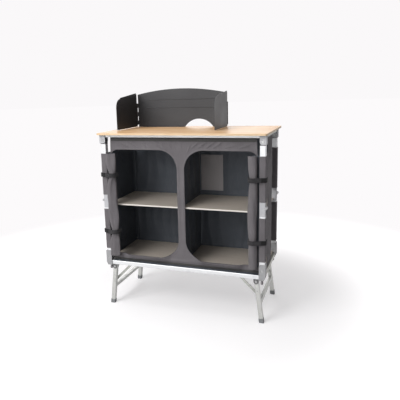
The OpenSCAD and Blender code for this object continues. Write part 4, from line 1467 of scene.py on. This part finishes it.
def runTree(piece, tree, values):
    modifier = piece.modifiers.new("made", "NODES")
    modifier.node_group = tree
    names = {item.name: item.identifier for item in tree.interface.items_tree
             if item.item_type == "SOCKET" and item.in_out == "INPUT"}
    for key, value in values.items():
        modifier[names[key]] = value
    bpy.context.view_layer.update()
    evaluated = piece.evaluated_get(bpy.context.evaluated_depsgraph_get())
    mesh = bpy.data.meshes.new_from_object(evaluated)
    piece.modifiers.clear()
    mesh.shade_smooth()
    piece.data = mesh
    return piece


beads = beadTree()
rivets = rivetTree()
stitchValues = {"Pitch": 0.0048, "Bead Length": 0.0034, "Bead Width": 0.0009, "Bead Height": 0.0009}
zipValues = {"Pitch": 0.0024, "Bead Length": 0.0015, "Bead Width": 0.0030, "Bead Height": 0.0030}
zipPath = {"outerIn": 0.02, "arcStep": 0.004, "step": 0.006}


def makeStitches():
    stitches = runTree(pathMesh("hemStitches", stitchPaths), beads, {**stitchValues, "Material": thread})
    foldsDown(stitches)


def makeZips():
    # Round the inner side of each opening
    v, p = frontValues, zipPath
    radius, far = v["innerRadius"], v["openOuter"] - p["outerIn"]
    middle = v["stile"] + radius
    lower = arc((middle, v["openLow"] + radius), radius, 180, 270, p["arcStep"])
    upper = arc((middle, v["openHigh"] - radius), radius, 90, 180, p["arcStep"])
    path = [(far, v["openLow"])] + lower[::-1] + upper[::-1] + [(far, v["openHigh"])]
    path = refine(path, p["step"], closed=False)
    coils = [[(side * x, v["y"] - frontBulge(side * x, z), z) for x, z in path] for side in (1, -1)]
    zips = runTree(pathMesh("doorZipCoils", coils), beads, {**zipValues, "Material": zipNylon})
    foldsDown(zips)


makeStitches()
makeZips()
print("stitches and zips made")

rivetValues = {
    "postZ": {"lower": 0.2770, "upper": 0.7790},
    "post": {"Radius": 0.0030, "Height": 0.0011},
    "leg": {"Radius": 0.0028, "Height": 0.0010},
    "legX": 0.348,  # the leg's pivot
    "legZ": centreOf("leg_hinge_pins", "z"),
    "footOut": 0.024,  # how far the foot stands outside the pivot
    "legSideZ": (0.046, 0.150),
    "braceZ": 0.088,
    "legHalf": 0.010,
}


def makeRivets(name, body, spots, sizes):
    mesh = bpy.data.meshes.new(name)
    mesh.from_pydata([spot for spot, way in spots], [], [])
    facing = mesh.attributes.new("facing", "FLOAT_VECTOR", "POINT")
    facing.data.foreach_set("vector", [value for spot, way in spots for value in way])
    piece = runTree(addObject(name, mesh), rivets, {**sizes, "Material": pinSteel})
    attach(piece, body)


def makeAllRivets():
    v = rivetValues
    front, rear, half = cabinet["frontY"], cabinet["rearY"], v["legHalf"]
    lean = math.atan2(v["footOut"], v["legZ"])
    across, down = math.cos(lean), math.sin(lean)
    for s, side in ((1, "right"), (-1, "left")):
        for level, z in v["postZ"].items():
            spots = [((s * (cabinet["sideX"] + cabinet["postHalf"]), y, z), (s, 0, 0)) for y in (front, rear)]
            name = side + level.capitalize() + "PostRivets"
            makeRivets(name, side + "_" + level + "_posts", spots, v["post"])
        spots = []
        for z in v["legSideZ"]:
            x = s * (v["legX"] + (v["legZ"] - z) * math.tan(lean))
            spots += [((x, front - half, z), (0, -1, 0)), ((x, rear + half, z), (0, 1, 0))]
        x = v["legX"] + (v["legZ"] - v["braceZ"]) * math.tan(lean) + half * across
        z = v["braceZ"] + half * down
        spots += [((s * x, y, z), (s * across, 0, down)) for y in (front, rear)]
        makeRivets(side + "LegRivets", side + "_legs", spots, v["leg"])


makeAllRivets()
print("rivets made")

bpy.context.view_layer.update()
scene = bpy.context.scene
scene.view_settings.view_transform = "Standard"
